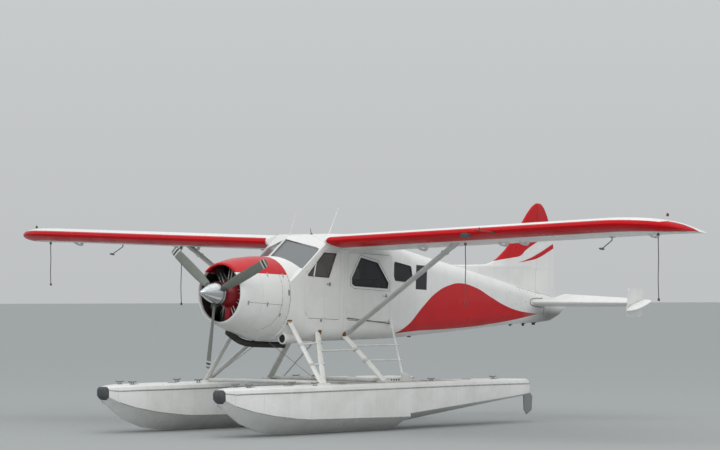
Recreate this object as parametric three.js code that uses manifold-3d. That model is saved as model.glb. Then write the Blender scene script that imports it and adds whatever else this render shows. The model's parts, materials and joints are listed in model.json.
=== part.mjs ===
// Floatplane: a high-wing aircraft with one radial engine, standing on its two floats.
// Millimetres, +Z up, nose towards -Y, port side towards +X.
// The airframe is drawn in its own frame, with the propeller's centre at the origin and the thrust
// line along Y. The whole airframe is then turned nose up and set on the floats, whose keels are level.
import * as THREE from 'three';
import { mergeVertices } from 'three/addons/utils/BufferGeometryUtils.js';
import Module from 'manifold-3d';

const wasm = await Module();
wasm.setup();

// Driving dimensions
const NOSE_UP = 2.5;               // degrees between the thrust line and the float keels
const THRUST_HEIGHT = 2171;        // propeller centre above the keels
const GAP = 0.3;                   // between pieces that touch
const CLEAR = 8;                   // between a moving edge and its neighbour
const WALL = 35;                   // cabin wall and door thickness
const CABIN_FRONT = 1060;          // firewall
const CABIN_REAR = 4100;           // bulkhead where the tail boom starts
const CABIN_HALF_WIDTH = 620;
const SPAN_HALF = 6970;
const CHORD = 1588;
const WING_LE_Y = 1793;
const WING_LE_Z = 884;
const WING_THICKNESS = 0.145;
const WING_CAMBER = 0.016;
const INCIDENCE = 2.5;             // degrees, leading edge up
const DIHEDRAL = 2;                // degrees
const FLOAT_X = 1250;              // half the track
const DECK_Z = 750;                // float deck above the keels
const ELEVATOR_UP = 24;            // degrees that the elevator rests above neutral

const rad = THREE.MathUtils.degToRad;

// Paints and materials
const paint = (color, roughness = 0.35, metalness = 0) => new THREE.MeshStandardMaterial({ color, roughness, metalness });
const WHITE = paint(0xe9e9e6);
const RED = paint(0xc8232b);
const GREY = paint(0x8f918c, 0.5, 0.3);
const METAL = paint(0xb4b6b8, 0.3, 0.9);
const DARK = paint(0x2a2a2a, 0.7);
const GLASS = paint(0x5f6a6c, 0.1);
const RUBBER = paint(0x3c3e40, 0.85);
const ROPE = paint(0x55524c, 0.9);
const SEAT = paint(0x3b3a3c, 0.8);

// Shapes
function toSolid(geometry) {
  const bare = geometry.clone();
  for (const name of Object.keys(bare.attributes)) if (name !== 'position') bare.deleteAttribute(name);
  const merged = mergeVertices(bare, 1e-3);
  return new wasm.Manifold(new wasm.Mesh({
    numProp: 3,
    vertProperties: new Float32Array(merged.attributes.position.array),
    triVerts: new Uint32Array(merged.index.array),
  }));
}

function toGeometry(solid) {
  const { vertProperties, triVerts } = solid.getMesh();
  const geometry = new THREE.BufferGeometry();
  geometry.setAttribute('position', new THREE.BufferAttribute(new Float32Array(vertProperties), 3));
  geometry.setIndex(new THREE.BufferAttribute(new Uint32Array(triVerts), 1));
  geometry.computeVertexNormals();
  return geometry;
}

// A closed solid through rings that all have the same number of points, with flat ends.
function loft(rings) {
  const count = rings[0].length;
  const points = rings.flat();
  const centre = ring => [0, 1, 2].map(k => ring.reduce((sum, p) => sum + p[k], 0) / count);
  points.push(centre(rings[0]), centre(rings[rings.length - 1]));
  const index = [];
  for (let r = 0; r + 1 < rings.length; r++) {
    for (let i = 0; i < count; i++) {
      const [a, b] = [r * count + i, r * count + (i + 1) % count];
      index.push(a, b, b + count, a, b + count, a + count);
    }
  }
  const last = (rings.length - 1) * count;
  for (let i = 0; i < count; i++) {
    index.push(i, points.length - 2, (i + 1) % count);
    index.push(last + i, last + (i + 1) % count, points.length - 1);
  }
  let volume = 0;
  const [a, b, c] = [new THREE.Vector3(), new THREE.Vector3(), new THREE.Vector3()];
  for (let i = 0; i < index.length; i += 3) {
    a.fromArray(points[index[i]]);
    b.fromArray(points[index[i + 1]]);
    c.fromArray(points[index[i + 2]]);
    volume += a.dot(b.cross(c));
  }
  if (volume < 0) index.reverse();
  const geometry = new THREE.BufferGeometry();
  geometry.setAttribute('position', new THREE.Float32BufferAttribute(points.flat(), 3));
  geometry.setIndex(index);
  return toSolid(geometry);
}

function box(x0, x1, y0, y1, z0, z1) {
  const geometry = new THREE.BoxGeometry(x1 - x0, y1 - y0, z1 - z0);
  geometry.translate((x0 + x1) / 2, (y0 + y1) / 2, (z0 + z1) / 2);
  return toSolid(geometry);
}

// A rod from one point to another; its section is an ellipse, `deep` along Y and `thick` across.
function strut(from, to, deep, thick, sides = 10) {
  const [p, q] = [new THREE.Vector3(...from), new THREE.Vector3(...to)];
  const along = q.clone().sub(p).normalize();
  const across = new THREE.Vector3().crossVectors(along, new THREE.Vector3(0, 1, 0)).normalize();
  const depth = new THREE.Vector3().crossVectors(across, along).normalize();
  const ring = centre => Array.from({ length: sides }, (_, i) => {
    const t = (2 * Math.PI * (i + 0.5)) / sides;
    return centre.clone().addScaledVector(depth, (deep / 2) * Math.cos(t))
      .addScaledVector(across, (thick / 2) * Math.sin(t)).toArray();
  });
  return loft([ring(p), ring(q)]);
}

// A cylinder between two points. `inside` keeps its flats, not its corners, at the radius.
function rod(from, to, radius, sides = 12, inside = false) {
  const [p, q] = [new THREE.Vector3(...from), new THREE.Vector3(...to)];
  const r = inside ? radius / Math.cos(Math.PI / sides) : radius;
  const geometry = new THREE.CylinderGeometry(r, r, p.distanceTo(q), sides);
  geometry.applyQuaternion(new THREE.Quaternion().setFromUnitVectors(
    new THREE.Vector3(0, 1, 0), q.clone().sub(p).normalize()));
  geometry.translate(...p.add(q).multiplyScalar(0.5).toArray());
  return toSolid(geometry);
}

// A solid with an outline of [y, z] points, between two places along X.
function sideProfile(outline, x0, x1) {
  const shape = new THREE.Shape(outline.map(([y, z]) => new THREE.Vector2(y, z)));
  const geometry = new THREE.ExtrudeGeometry(shape, { depth: x1 - x0, bevelEnabled: false });
  geometry.applyMatrix4(new THREE.Matrix4().makeBasis(
    new THREE.Vector3(0, 1, 0), new THREE.Vector3(0, 0, 1), new THREE.Vector3(1, 0, 0)));
  geometry.translate(x0, 0, 0);
  return toSolid(geometry);
}

function tube(points, radius, steps, sides = 8) {
  const circle = new THREE.Shape().absarc(0, 0, radius, 0, 2 * Math.PI);
  const path = new THREE.CatmullRomCurve3(points.map(p => new THREE.Vector3(...p)));
  return new THREE.ExtrudeGeometry(circle, { extrudePath: path, steps, curveSegments: sides / 2 });
}

const join = (...solids) => solids.reduce((a, b) => a.add(b));
const moved = (solid, matrix) => {
  const geometry = toGeometry(solid);
  geometry.applyMatrix4(matrix);
  return toSolid(geometry);
};
const MIRROR_X = new THREE.Matrix4().makeScale(-1, 1, 1);
function mirrored(solid) {
  const geometry = toGeometry(solid);
  geometry.applyMatrix4(MIRROR_X);
  geometry.index.array.reverse();
  return toSolid(geometry);
}
// One solid for the port side, or its mirror image for the starboard side.
const onSide = (solid, side) => (side > 0 ? solid : mirrored(solid));
const SIDES = [['left', 1], ['right', -1]];

// Values between the rows of a table whose first column is the place.
function between(rows, place) {
  const next = rows.findIndex(row => row[0] >= place);
  if (next <= 0) return next === 0 ? rows[0] : rows[rows.length - 1];
  const [a, b] = [rows[next - 1], rows[next]];
  const t = (place - a[0]) / (b[0] - a[0]);
  return a.map((value, i) => value + t * (b[i] - value));
}

// The model and its frames
const root = new THREE.Group();
const standing = new THREE.Group();
const airframe = new THREE.Group();
airframe.position.z = THRUST_HEIGHT;
airframe.rotation.x = -rad(NOSE_UP);
standing.add(airframe);
root.add(standing);
airframe.updateMatrix();
const toStanding = airframe.matrix.clone();
const standingPoint = p => new THREE.Vector3(...p).applyMatrix4(toStanding).toArray();

function add(group, name, shape, material) {
  const geometry = shape.isBufferGeometry ? shape : toGeometry(shape);
  const mesh = new THREE.Mesh(geometry, material);
  mesh.name = name;
  group.add(mesh);
  return mesh;
}

// Hinge lines, with a point and a direction in the frame of the group that holds them
const hinges = [];
const hinge = (name, group, point, axis) => hinges.push({ name, group, point, axis });

// Fuselage
// A ring of the fuselage at one place along Y: half width, top, bottom, radii of its top and bottom
// corners, all drawn in by `inset`.
const CORNER_STEPS = 7;
function fuselageRing(y, [halfWidth, top, bottom, topRadius, bottomRadius], inset) {
  const [w, t, b] = [halfWidth - inset, top - inset, bottom + inset];
  const corners = [
    [w, b, bottomRadius, -90], [w, t, topRadius, 0], [-w, t, topRadius, 90], [-w, b, bottomRadius, 180],
  ];
  const ring = [];
  for (const [x, z, radius, start] of corners) {
    const r = Math.max(Math.min(radius - inset, w - 1, (t - b) / 2 - 1), 12);
    const [cx, cz] = [x - Math.sign(x) * r, z + (z === b ? r : -r)];
    for (let i = 0; i <= CORNER_STEPS; i++) {
      const a = rad(start + (90 * i) / CORNER_STEPS);
      ring.push([cx + r * Math.cos(a), y, cz + r * Math.sin(a)]);
    }
  }
  return ring;
}

// y, half width, top, bottom, top corner radius, bottom corner radius
const NOSE_DECK = [
  [1060, 612, 622, -715, 600, 600],
  [1200, 617, 636, -708, 500, 460],
  [1400, 620, 650, -700, 320, 300],
  [1700, 620, 660, -690, 200, 210],
];
const CABIN = [
  [1060, 612, 1000, -715, 60, 600],
  [1200, 617, 1000, -708, 60, 460],
  [1400, 620, 1000, -700, 60, 300],
  [1700, 620, 985, -690, 60, 210],
  [1950, 620, 1025, -684, 60, 200],
  [2400, 620, 1045, -662, 60, 200],
  [2900, 620, 1020, -634, 60, 200],
  [3440, 620, 955, -605, 90, 200],
  [4100, 560, 876, -555, 260, 220],
];
const BOOM = [
  [4100, 560, 876, -555, 260, 220],
  [4800, 487, 790, -490, 300, 260],
  [5550, 409, 700, -427, 300, 260],
  [6450, 316, 570, -330, 260, 230],
  [7330, 224, 442, -243, 200, 190],
  [8070, 150, 333, -190, 148, 148],
  [8400, 112, 280, -150, 110, 110],
  [8650, 76, 225, -50, 74, 74],
  [8800, 42, 175, 50, 40, 40],
  [8870, 16, 135, 88, 14, 14],
];

// The windscreen's two flat faces: corners at the port side
const SCREEN = {
  baseCentre: [0, 1166, 607],
  topCentre: [0, 1575, 938],
  topSide: [600, 1778, 760],
  baseSide: [620, 1308, 426],
};
const screenNormal = new THREE.Vector3(...SCREEN.topCentre).sub(new THREE.Vector3(...SCREEN.baseCentre))
  .cross(new THREE.Vector3(...SCREEN.baseSide).sub(new THREE.Vector3(...SCREEN.baseCentre))).negate().normalize();

// All that lies behind a plane, as a large block
function behindPlane(point, normal, inset = 0) {
  const size = 8000;
  const geometry = new THREE.BoxGeometry(size, size, size);
  geometry.translate(0, 0, -size / 2 - inset);
  geometry.applyQuaternion(new THREE.Quaternion().setFromUnitVectors(new THREE.Vector3(0, 0, 1), normal));
  geometry.translate(...point);
  return toSolid(geometry);
}

// The cabin's outer form drawn in by `inset`, between two places along Y
function cabinForm(inset, from = CABIN_FRONT, to = CABIN_REAR) {
  const rings = (table, end) => {
    const places = [from, ...table.map(row => row[0]).filter(y => y > from + 1 && y < end - 1), end];
    return loft(places.map(y => fuselageRing(y, between(table, y).slice(1), inset)));
  };
  const front = behindPlane(SCREEN.baseCentre, screenNormal, inset);
  return rings(CABIN, to).intersect(front).intersect(mirrored(front)).add(rings(NOSE_DECK, 1700));
}

const cabinOuter = cabinForm(0);
const cabinWall = cabinOuter.subtract(cabinForm(WALL, CABIN_FRONT + 40, CABIN_REAR - 40));
const glassSkin = cabinForm(8).subtract(cabinForm(16));
const GLASS_MARGIN = 0.5;

// Outlines of doors and windows, as [y, z] points
const OUTLINES = {
  cockpit_door: [[1400, -240], [1480, -330], [2200, -330], [2200, 745], [1800, 745], [1400, 362]],
  cabin_door: [[2380, -290], [2420, -330], [3390, -330], [3430, -290], [3430, 705], [3390, 745], [2380, 745]],
  cockpit_door_window: [[1448, 335], [1930, 325], [2095, 715], [1800, 715], [1440, 352]],
  cabin_door_window: [[2490, 345], [2690, 675], [3095, 612], [3372, 300], [3360, 210], [2555, 220], [2495, 250]],
  aft_window: [[3525, 420], [3525, 625], [3550, 648], [3960, 600], [3990, 585], [4040, 410], [4035, 395], [3925, 338],
    [3560, 350]],
};

// An outline pushed outwards by a distance, or inwards if it is negative
function offset(outline, distance) {
  const turn = THREE.ShapeUtils.area(outline.map(([y, z]) => new THREE.Vector2(y, z))) > 0 ? 1 : -1;
  return outline.map((p, i) => {
    const before = outline[(i + outline.length - 1) % outline.length];
    const after = outline[(i + 1) % outline.length];
    const normal = (a, b) => new THREE.Vector2(b[1] - a[1], a[0] - b[0]).normalize().multiplyScalar(turn);
    const [n1, n2] = [normal(before, p), normal(p, after)];
    const scale = distance / (1 + n1.dot(n2));
    return [p[0] + (n1.x + n2.x) * scale, p[1] + (n1.y + n2.y) * scale];
  });
}
const throughSide = (outline, side, grow = 0) => (side > 0
  ? sideProfile(offset(outline, grow), 480, 700) : sideProfile(offset(outline, grow), -700, -480));

// The windscreen opening and its pane, drawn on the sloping face; the upper outer corner is rounded
function screenPrism(shrink, low = -100, high = 100) {
  const corners = ['baseCentre', 'topCentre', 'topSide', 'baseSide'].map(k => new THREE.Vector3(...SCREEN[k]));
  const middle = corners.reduce((a, b) => a.clone().add(b)).multiplyScalar(0.25);
  const up = corners[1].clone().sub(corners[0]).normalize();
  const along = new THREE.Vector3().crossVectors(up, screenNormal).normalize();
  const flat = corners.map(c => c.clone().sub(middle)).map(c => [c.dot(along), c.dot(up)]);
  const rim = offset(flat, -shrink);
  const [cut, near] = [rim[2], 70];
  const towards = ([u, v], share = 1) => {
    const t = (share * near) / Math.hypot(u - cut[0], v - cut[1]);
    return [cut[0] + t * (u - cut[0]), cut[1] + t * (v - cut[1])];
  };
  const [p, q] = [towards(rim[1]), towards(rim[3])];
  rim.splice(2, 1, p, [(p[0] + q[0] + 2 * cut[0]) / 4, (p[1] + q[1] + 2 * cut[1]) / 4], q);
  const shape = new THREE.Shape(rim.map(([u, v]) => new THREE.Vector2(u, v)));
  const geometry = new THREE.ExtrudeGeometry(shape, { depth: high - low, bevelEnabled: false });
  geometry.translate(0, 0, low);
  geometry.applyMatrix4(new THREE.Matrix4().makeBasis(along, up, screenNormal));
  geometry.translate(...middle.toArray());
  return toSolid(geometry);
}
const SCREEN_FRAME = 17;

const DOOR_GAP = 6;
const DOOR_PIN = { radius: 6, inset: 13, length: 60, pocket: 20 };
// Ends of each door's upright front edge, and how deep the frame's pocket round the pin is beyond each
const DOORS = {
  cockpit_door: { top: 362, bottom: -240, above: 38, below: 38 },
  cabin_door: { top: 745, bottom: -290, above: 8, below: 34 },
};
const ROOF_BOX = [-700, 700, 1850, 3440, 850, 1200];

let cabinBody = cabinWall;
for (const [label, side] of SIDES) {
  const screen = onSide(screenPrism(SCREEN_FRAME), side);
  cabinBody = cabinBody.subtract(screen).subtract(throughSide(OUTLINES.aft_window, side));
  add(airframe, `windscreen_${label}`, onSide(screenPrism(SCREEN_FRAME + GLASS_MARGIN, -16, -8), side), GLASS);
  add(airframe, `aft_window_${label}`,
    glassSkin.intersect(throughSide(OUTLINES.aft_window, side, -GLASS_MARGIN)), GLASS);
  for (const [door, { top, bottom, above, below }] of Object.entries(DOORS)) {
    const window = OUTLINES[`${door}_window`];
    const front = Math.min(...OUTLINES[door].map(p => p[0]));
    const [x, y] = [side * (CABIN_HALF_WIDTH - DOOR_PIN.inset), front + DOOR_PIN.inset];
    const pin = (grow, inside) => join(
      rod([x, y, bottom - DOOR_PIN.length - grow], [x, y, bottom + 40], DOOR_PIN.radius + grow, 10, inside),
      rod([x, y, top - 60], [x, y, top + DOOR_PIN.length + grow], DOOR_PIN.radius + grow, 10, inside));
    const nose = 9;
    const chamfer = rod([side * CABIN_HALF_WIDTH, front, -800], [side * CABIN_HALF_WIDTH, front, 900], nose, 4);
    const panel = cabinWall.intersect(throughSide(OUTLINES[door], side)).subtract(chamfer)
      .subtract(throughSide(window, side)).add(pin(0, false));
    add(airframe, `${door}_${label}`, panel, WHITE);
    add(airframe, `${door}_window_${label}`,
      glassSkin.intersect(throughSide(window, side, -GLASS_MARGIN)), GLASS);
    cabinBody = cabinBody.subtract(throughSide(OUTLINES[door], side, DOOR_GAP))
      .subtract(pin(GAP, true))
      .subtract(rod([x, y, bottom - below], [x, y, bottom + 5], DOOR_PIN.pocket, 16))
      .subtract(rod([x, y, top - 5], [x, y, top + above], DOOR_PIN.pocket, 16));
    hinge(`${door}_${label}`, airframe, [x, y, 0], [0, 0, 1]);
  }
}
const [rx0, rx1, ry0, ry1, rz0, rz1] = ROOF_BOX;
add(airframe, 'cabin_roof', cabinWall.intersect(box(rx0, rx1, ry0 + GAP, ry1 - GAP, rz0 + GAP, rz1)), WHITE);
const cabinBodyWhole = cabinBody.subtract(box(...ROOF_BOX));
add(airframe, 'cabin_body', cabinBodyWhole, WHITE);

// Tail boom: a thin shell, open at its front, with the tailplane's seats and the control bores
const BOOM_SKIN = 16;
const boomRings = inset => BOOM.map(([y, ...section], i) => {
  const place = i === 0 ? y - Math.min(inset, 0) : y;
  return fuselageRing(place, section, inset);
});
const boomForm = inset => loft(boomRings(inset));
const boomInner = loft(BOOM.slice(0, 8).map(([y, ...section], i) => fuselageRing(i ? y : y - 50, section, BOOM_SKIN)));

// Tail surfaces
const HINGE_Y = 8120;              // elevator hinge line
const TAIL_Z = 150;                // tailplane's height
const RUDDER_Y = 8035;             // rudder hinge line
// x, leading edge y, trailing edge y, thickness
const TAILPLANE = [
  [0, 7700, 8576, 124],
  [300, 7716, 8540, 119],
  [1200, 7768, 8432, 100],
  [2140, 7818, 8318, 76],
];
const TIP_X = 2150;
// The elevator's horn, which is the tip outboard of the fixed tailplane
const HORN = [
  [TIP_X, 7765, 8300, 76],
  [2250, 7790, 8290, 66],
  [2320, 7850, 8265, 48],
  [2362, 7950, 8230, 26],
  [2375, 8040, 8190, 8],
];
// A thin symmetrical section, rounded in front: places from 0 to 1 and half heights from 0 to 1
const THIN_SECTION = [[0, 0], [0.02, 0.42], [0.08, 0.72], [0.2, 0.95], [0.35, 1], [0.55, 0.86], [0.8, 0.45], [1, 0.06]];
function thinRing(front, back, thickness, place) {
  const chord = back - front;
  const upper = THIN_SECTION.map(([t, h]) => place(front + t * chord, (h * thickness) / 2));
  const lower = THIN_SECTION.slice(1).map(([t, h]) => place(front + t * chord, (-h * thickness) / 2));
  return [...upper, ...lower.reverse()];
}
const flatSurface = rows => loft(rows.map(([x, front, back, thickness]) =>
  thinRing(front, back, thickness, (y, h) => [x, y, TAIL_Z + h])));
const tailplaneForm = flatSurface(TAILPLANE);
const noseRadius = 61;
const elevatorZone = (radius, inset) => join(
  rod([-100, HINGE_Y, TAIL_Z], [3000, HINGE_Y, TAIL_Z], radius, 24),
  box(-100, 3000, HINGE_Y, HINGE_Y + 2000, TAIL_Z - 400, TAIL_Z + 400)).subtract(
  box(-200, inset, HINGE_Y - 400, HINGE_Y + 2200, TAIL_Z - 500, TAIL_Z + 500));

// Cut away from the inner ends of the elevator, clear of the swinging rudder
const rudderRoom = (() => {
  const shape = new THREE.Shape([[-1, 7900], [190, 7900], [190, 8150], [330, 8680], [330, 9200], [-1, 9200]]
    .map(([x, y]) => new THREE.Vector2(x, y)));
  const geometry = new THREE.ExtrudeGeometry(shape, { depth: 1000, bevelEnabled: false });
  geometry.translate(0, 0, -400);
  return toSolid(geometry);
})();
const TORQUE_TUBE = 20;
// Upright plate near the tailplane's tip, which the tube between the elevator and its horn goes through
const FINLET = { x: 2125, front: 7835, back: 8275, bottom: -80, top: 400, thickness: 14, hole: 32 };
const elevatorHalf = tailplaneForm.intersect(elevatorZone(noseRadius, -1)).subtract(rudderRoom)
  .subtract(box(FINLET.x - FINLET.thickness / 2 - CLEAR, 2300, 7000, 9500, -400, 800))
  .add(flatSurface(HORN)).add(rod([FINLET.x - 60, HINGE_Y, TAIL_Z], [2200, HINGE_Y, TAIL_Z], FINLET.hole - CLEAR, 12));
const elevatorNeutral = join(elevatorHalf, mirrored(elevatorHalf),
  rod([-260, HINGE_Y, TAIL_Z], [260, HINGE_Y, TAIL_Z], TORQUE_TUBE, 16));
const turnAboutHinge = new THREE.Matrix4().makeTranslation(0, HINGE_Y, TAIL_Z)
  .multiply(new THREE.Matrix4().makeRotationX(rad(ELEVATOR_UP)))
  .multiply(new THREE.Matrix4().makeTranslation(0, -HINGE_Y, -TAIL_Z));
add(airframe, 'elevator', moved(elevatorNeutral, turnAboutHinge), WHITE);
hinge('elevator', airframe, [0, HINGE_Y, TAIL_Z], [1, 0, 0]);

const boomOuter = boomForm(0);
for (const [label, side] of SIDES) {
  const { x, front, back, bottom, top, thickness, hole } = FINLET;
  const plate = sideProfile([[front + 30, bottom], [back - 50, bottom], [back - 20, bottom + 40], [back + 20, top - 20],
    [back, top], [front + 60, top], [front + 30, top - 40], [front, bottom + 60]], x - thickness / 2, x + thickness / 2);
  const swing = elevatorZone(noseRadius + CLEAR, -1);
  const fixed = tailplaneForm.subtract(swing).intersect(box(0, TIP_X - CLEAR - 4, 7000, 9000, -500, 800))
    .subtract(boomForm(-GAP));
  const finlet = plate.subtract(rod([x - 50, HINGE_Y, TAIL_Z], [x + 50, HINGE_Y, TAIL_Z], hole, 16, true));
  add(airframe, `tailplane_${label}`, onSide(fixed.add(finlet), side), WHITE);
}

// z, leading edge y, trailing edge y, thickness
const FIN = [
  [60, 5500, 8600, 120],
  [300, 5500, 8590, 120],
  [700, 5500, 8555, 116],
  [730, 6150, 8553, 112],
  [757, 6600, 8550, 108],
  [796, 6760, 8546, 104],
  [880, 6930, 8540, 100],
  [1040, 7150, 8524, 94],
  [1250, 7370, 8490, 86],
  [1500, 7570, 8400, 74],
  [1700, 7735, 8300, 60],
  [1820, 7860, 8215, 44],
  [1880, 7960, 8140, 24],
  [1892, 8000, 8095, 8],
];
const finForm = loft(FIN.map(([z, front, back, thickness]) =>
  thinRing(front, back, thickness, (y, h) => [h, y, z])));
const RUDDER_NOSE = 44;
const rudderZone = radius => join(
  rod([0, RUDDER_Y, -200], [0, RUDDER_Y, 2200], radius, 24),
  box(-400, 400, RUDDER_Y, RUDDER_Y + 1500, -200, 2200));
add(airframe, 'fin', finForm.subtract(rudderZone(RUDDER_NOSE + CLEAR)).subtract(boomForm(-GAP)), RED);
const RUDDER_PIN = 14;
const rudder = finForm.intersect(rudderZone(RUDDER_NOSE)).subtract(boomForm(-CLEAR))
  .add(rod([0, RUDDER_Y, 300], [0, RUDDER_Y, 420], RUDDER_PIN, 12));
add(airframe, 'rudder', rudder, WHITE);
hinge('rudder', airframe, [0, RUDDER_Y, 0], [0, 0, 1]);

const boomShell = boomOuter.subtract(boomInner)
  .subtract(rod([-400, HINGE_Y, TAIL_Z], [400, HINGE_Y, TAIL_Z], TORQUE_TUBE + GAP, 16, true))
  .subtract(rod([0, RUDDER_Y, 280], [0, RUDDER_Y, 440], RUDDER_PIN + GAP, 12, true));
add(airframe, 'tail_boom', boomShell.subtract(box(-900, 900, 4000, CABIN_REAR + GAP, -900, 1200)), WHITE);

// Wings
// Heights of the upper and lower surface at a share of the chord
function wingSurface(t, thickness = WING_THICKNESS, camber = WING_CAMBER) {
  const half = 5 * thickness * (0.2969 * Math.sqrt(t) - 0.126 * t - 0.3516 * t ** 2 + 0.2843 * t ** 3 - 0.0996 * t ** 4);
  const mean = 4 * camber * t * (1 - t);
  return [mean + half, mean - half];
}
const WING_PLACES = [0.015, 0.06, 0.14, 0.26, 0.4, 0.56, 0.72, 0.87, 1];
const chordLineZ = y => WING_LE_Z - (y - WING_LE_Y) * Math.tan(rad(INCIDENCE));
function wingRing(x) {
  const [front, back, thickness] = planform(x);
  const chord = back - front;
  const droop = TIP_DROOP * (CHORD - chord);
  const row = (t, k) => [x, front + t * chord, chordLineZ(front + t * chord) - droop + chord * wingSurface(t, thickness)[k]];
  return [row(0, 0), ...WING_PLACES.map(t => row(t, 0)), ...WING_PLACES.slice().reverse().map(t => row(t, 1))];
}
const TE_Y = WING_LE_Y + CHORD;
// The leading edge curves back to the tip in a quarter of an ellipse; the trailing edge has a small round corner
const TIP_START = 6020;
const TIP_FRONT_Y = 2650;
const TIP_CORNER = 220;
const TIP_DROOP = 0.04;            // the tip's fall for each unit of chord lost
const TIP_STATIONS = [6020, 6180, 6340, 6480, 6600, 6700, 6780, 6850, 6910, 6950, SPAN_HALF];
function planform(x) {
  const t = Math.max(0, (x - TIP_START) / (SPAN_HALF - TIP_START));
  const u = Math.max(0, (x - SPAN_HALF + TIP_CORNER) / TIP_CORNER);
  const front = TIP_FRONT_Y - (TIP_FRONT_Y - WING_LE_Y) * Math.sqrt(1 - t * t);
  const back = TE_Y - TIP_CORNER * (1 - Math.sqrt(1 - u * u));
  return [front, back, WING_THICKNESS * (1 - 0.8 * u ** 4)];
}
const wingForm = loft([600, ...TIP_STATIONS].map(wingRing));

// Flap and aileron turn about a line under the wing, carried by brackets
const WING_HINGE_Y = 3010;
const HINGE_DROP = 45;
const hingeShare = (WING_HINGE_Y - WING_LE_Y) / CHORD;
const hingeSkinZ = chordLineZ(WING_HINGE_Y) + CHORD * wingSurface(hingeShare)[1];
const WING_HINGE_Z = hingeSkinZ - HINGE_DROP;
const WING_NOSE = chordLineZ(WING_HINGE_Y) + CHORD * wingSurface(hingeShare)[0] - WING_HINGE_Z - 2;
const controlZone = (x0, x1, radius) => join(
  rod([x0, WING_HINGE_Y, WING_HINGE_Z], [x1, WING_HINGE_Y, WING_HINGE_Z], radius, 32),
  box(x0, x1, WING_HINGE_Y, TE_Y + 200, WING_HINGE_Z - 400, WING_HINGE_Z + 500));
// name, inner end, outer end, places of the two hinges along X
const CONTROLS = [
  ['flap', 668, 3510, [1690, 3330]],
  ['aileron', 3526, 6580, [3740, 6200]],
];
const BRACKET = { half: 6, slot: 13, lug: 11, pin: 9 };
const WING_ROOT_X = CABIN_HALF_WIDTH + GAP;
let wing = wingForm.subtract(controlZone(500, 6590, WING_NOSE + CLEAR));
const controls = {};
for (const [name, x0, x1, places] of CONTROLS) {
  let surface = wingForm.intersect(controlZone(x0, x1, WING_NOSE));
  for (const x of places) {
    const { half, slot, lug, pin } = BRACKET;
    const arm = sideProfile([[WING_HINGE_Y - 330, hingeSkinZ + 35], [WING_HINGE_Y - 175, hingeSkinZ + 35],
      [WING_HINGE_Y - 90, WING_HINGE_Z + 18], [WING_HINGE_Y + 12, WING_HINGE_Z + 16],
      [WING_HINGE_Y + 16, WING_HINGE_Z - 12], [WING_HINGE_Y - 10, WING_HINGE_Z - 18],
      [WING_HINGE_Y - 120, WING_HINGE_Z - 8]], x - half, x + half);
    wing = wing.add(arm).add(rod([x, WING_HINGE_Y, WING_HINGE_Z],
      [x + slot + lug, WING_HINGE_Y, WING_HINGE_Z], pin, 12));
    surface = surface.subtract(box(x - slot, x + slot, WING_HINGE_Y - 200, WING_HINGE_Y + 40,
      WING_HINGE_Z - 100, hingeSkinZ + 80));
    const ear = sideProfile([[WING_HINGE_Y - 40, hingeSkinZ + 12], [WING_HINGE_Y - 18, WING_HINGE_Z - 6],
      [WING_HINGE_Y, WING_HINGE_Z - 19], [WING_HINGE_Y + 18, WING_HINGE_Z - 6],
      [WING_HINGE_Y + 70, hingeSkinZ + 12]], x + slot, x + slot + lug);
    surface = surface.add(ear).subtract(rod([x + slot - 20, WING_HINGE_Y, WING_HINGE_Z],
      [x + slot + lug + 20, WING_HINGE_Y, WING_HINGE_Z], pin + GAP, 12, true));
  }
  controls[name] = surface;
}

// Everything on a wing is turned up by the dihedral about the aircraft's middle
const dihedralTurn = new THREE.Matrix4().makeTranslation(0, 0, WING_LE_Z)
  .multiply(new THREE.Matrix4().makeRotationY(-rad(DIHEDRAL)))
  .multiply(new THREE.Matrix4().makeTranslation(0, 0, -WING_LE_Z));
const wingPoint = p => new THREE.Vector3(...p).applyMatrix4(dihedralTurn).toArray();

// Eyes under each wing, which the mooring ropes hang from: place along X and Y
const EYES = [[3080, 2324], [6554, 2578]];
const EYE = { radius: 9, drop: 42 };
const wingBottom = (x, y) => {
  const [front, back, thickness] = planform(x);
  const chord = back - front;
  return wingPoint([x, y, chordLineZ(y) - TIP_DROOP * (CHORD - chord) + chord * wingSurface((y - front) / chord, thickness)[1]]);
};
let wingSolid = moved(wing, dihedralTurn).subtract(box(0, WING_ROOT_X, 1000, 4000, 0, 2000));
for (const [x, y] of EYES) {
  const [ex, ey, ez] = wingBottom(x, y);
  wingSolid = wingSolid.add(rod([ex, ey, ez - EYE.drop], [ex, ey, ez + 30], EYE.radius, 8));
}

// Wing strut from the cabin's lower edge to the wing
const STRUT = { foot: [580, 2443, -545], head: [2979, 2333, 925], deep: 142, thick: 62 };
const strutSolid = strut(STRUT.foot, STRUT.head, STRUT.deep, STRUT.thick, 14)
  .subtract(cabinForm(-GAP)).subtract(moved(wing, new THREE.Matrix4().makeTranslation(0, 0, -GAP).multiply(dihedralTurn)))
  .subtract(box(2700, 3400, 2000, 2800, 905, 1400));

for (const [label, side] of SIDES) {
  add(airframe, `wing_${label}`, onSide(wingSolid, side), WHITE);
  add(airframe, `wing_strut_${label}`, onSide(strutSolid, side), GREY);
  const axis = new THREE.Vector3(1, 0, 0).transformDirection(dihedralTurn).toArray();
  const point = wingPoint([2000, WING_HINGE_Y, WING_HINGE_Z]);
  for (const [name] of CONTROLS) {
    add(airframe, `${name}_${label}`, onSide(moved(controls[name], dihedralTurn), side), WHITE);
    hinge(`${name}_${label}`, airframe, [side * point[0], point[1], point[2]], [axis[0], 0, side * axis[2]]);
  }
}

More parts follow.
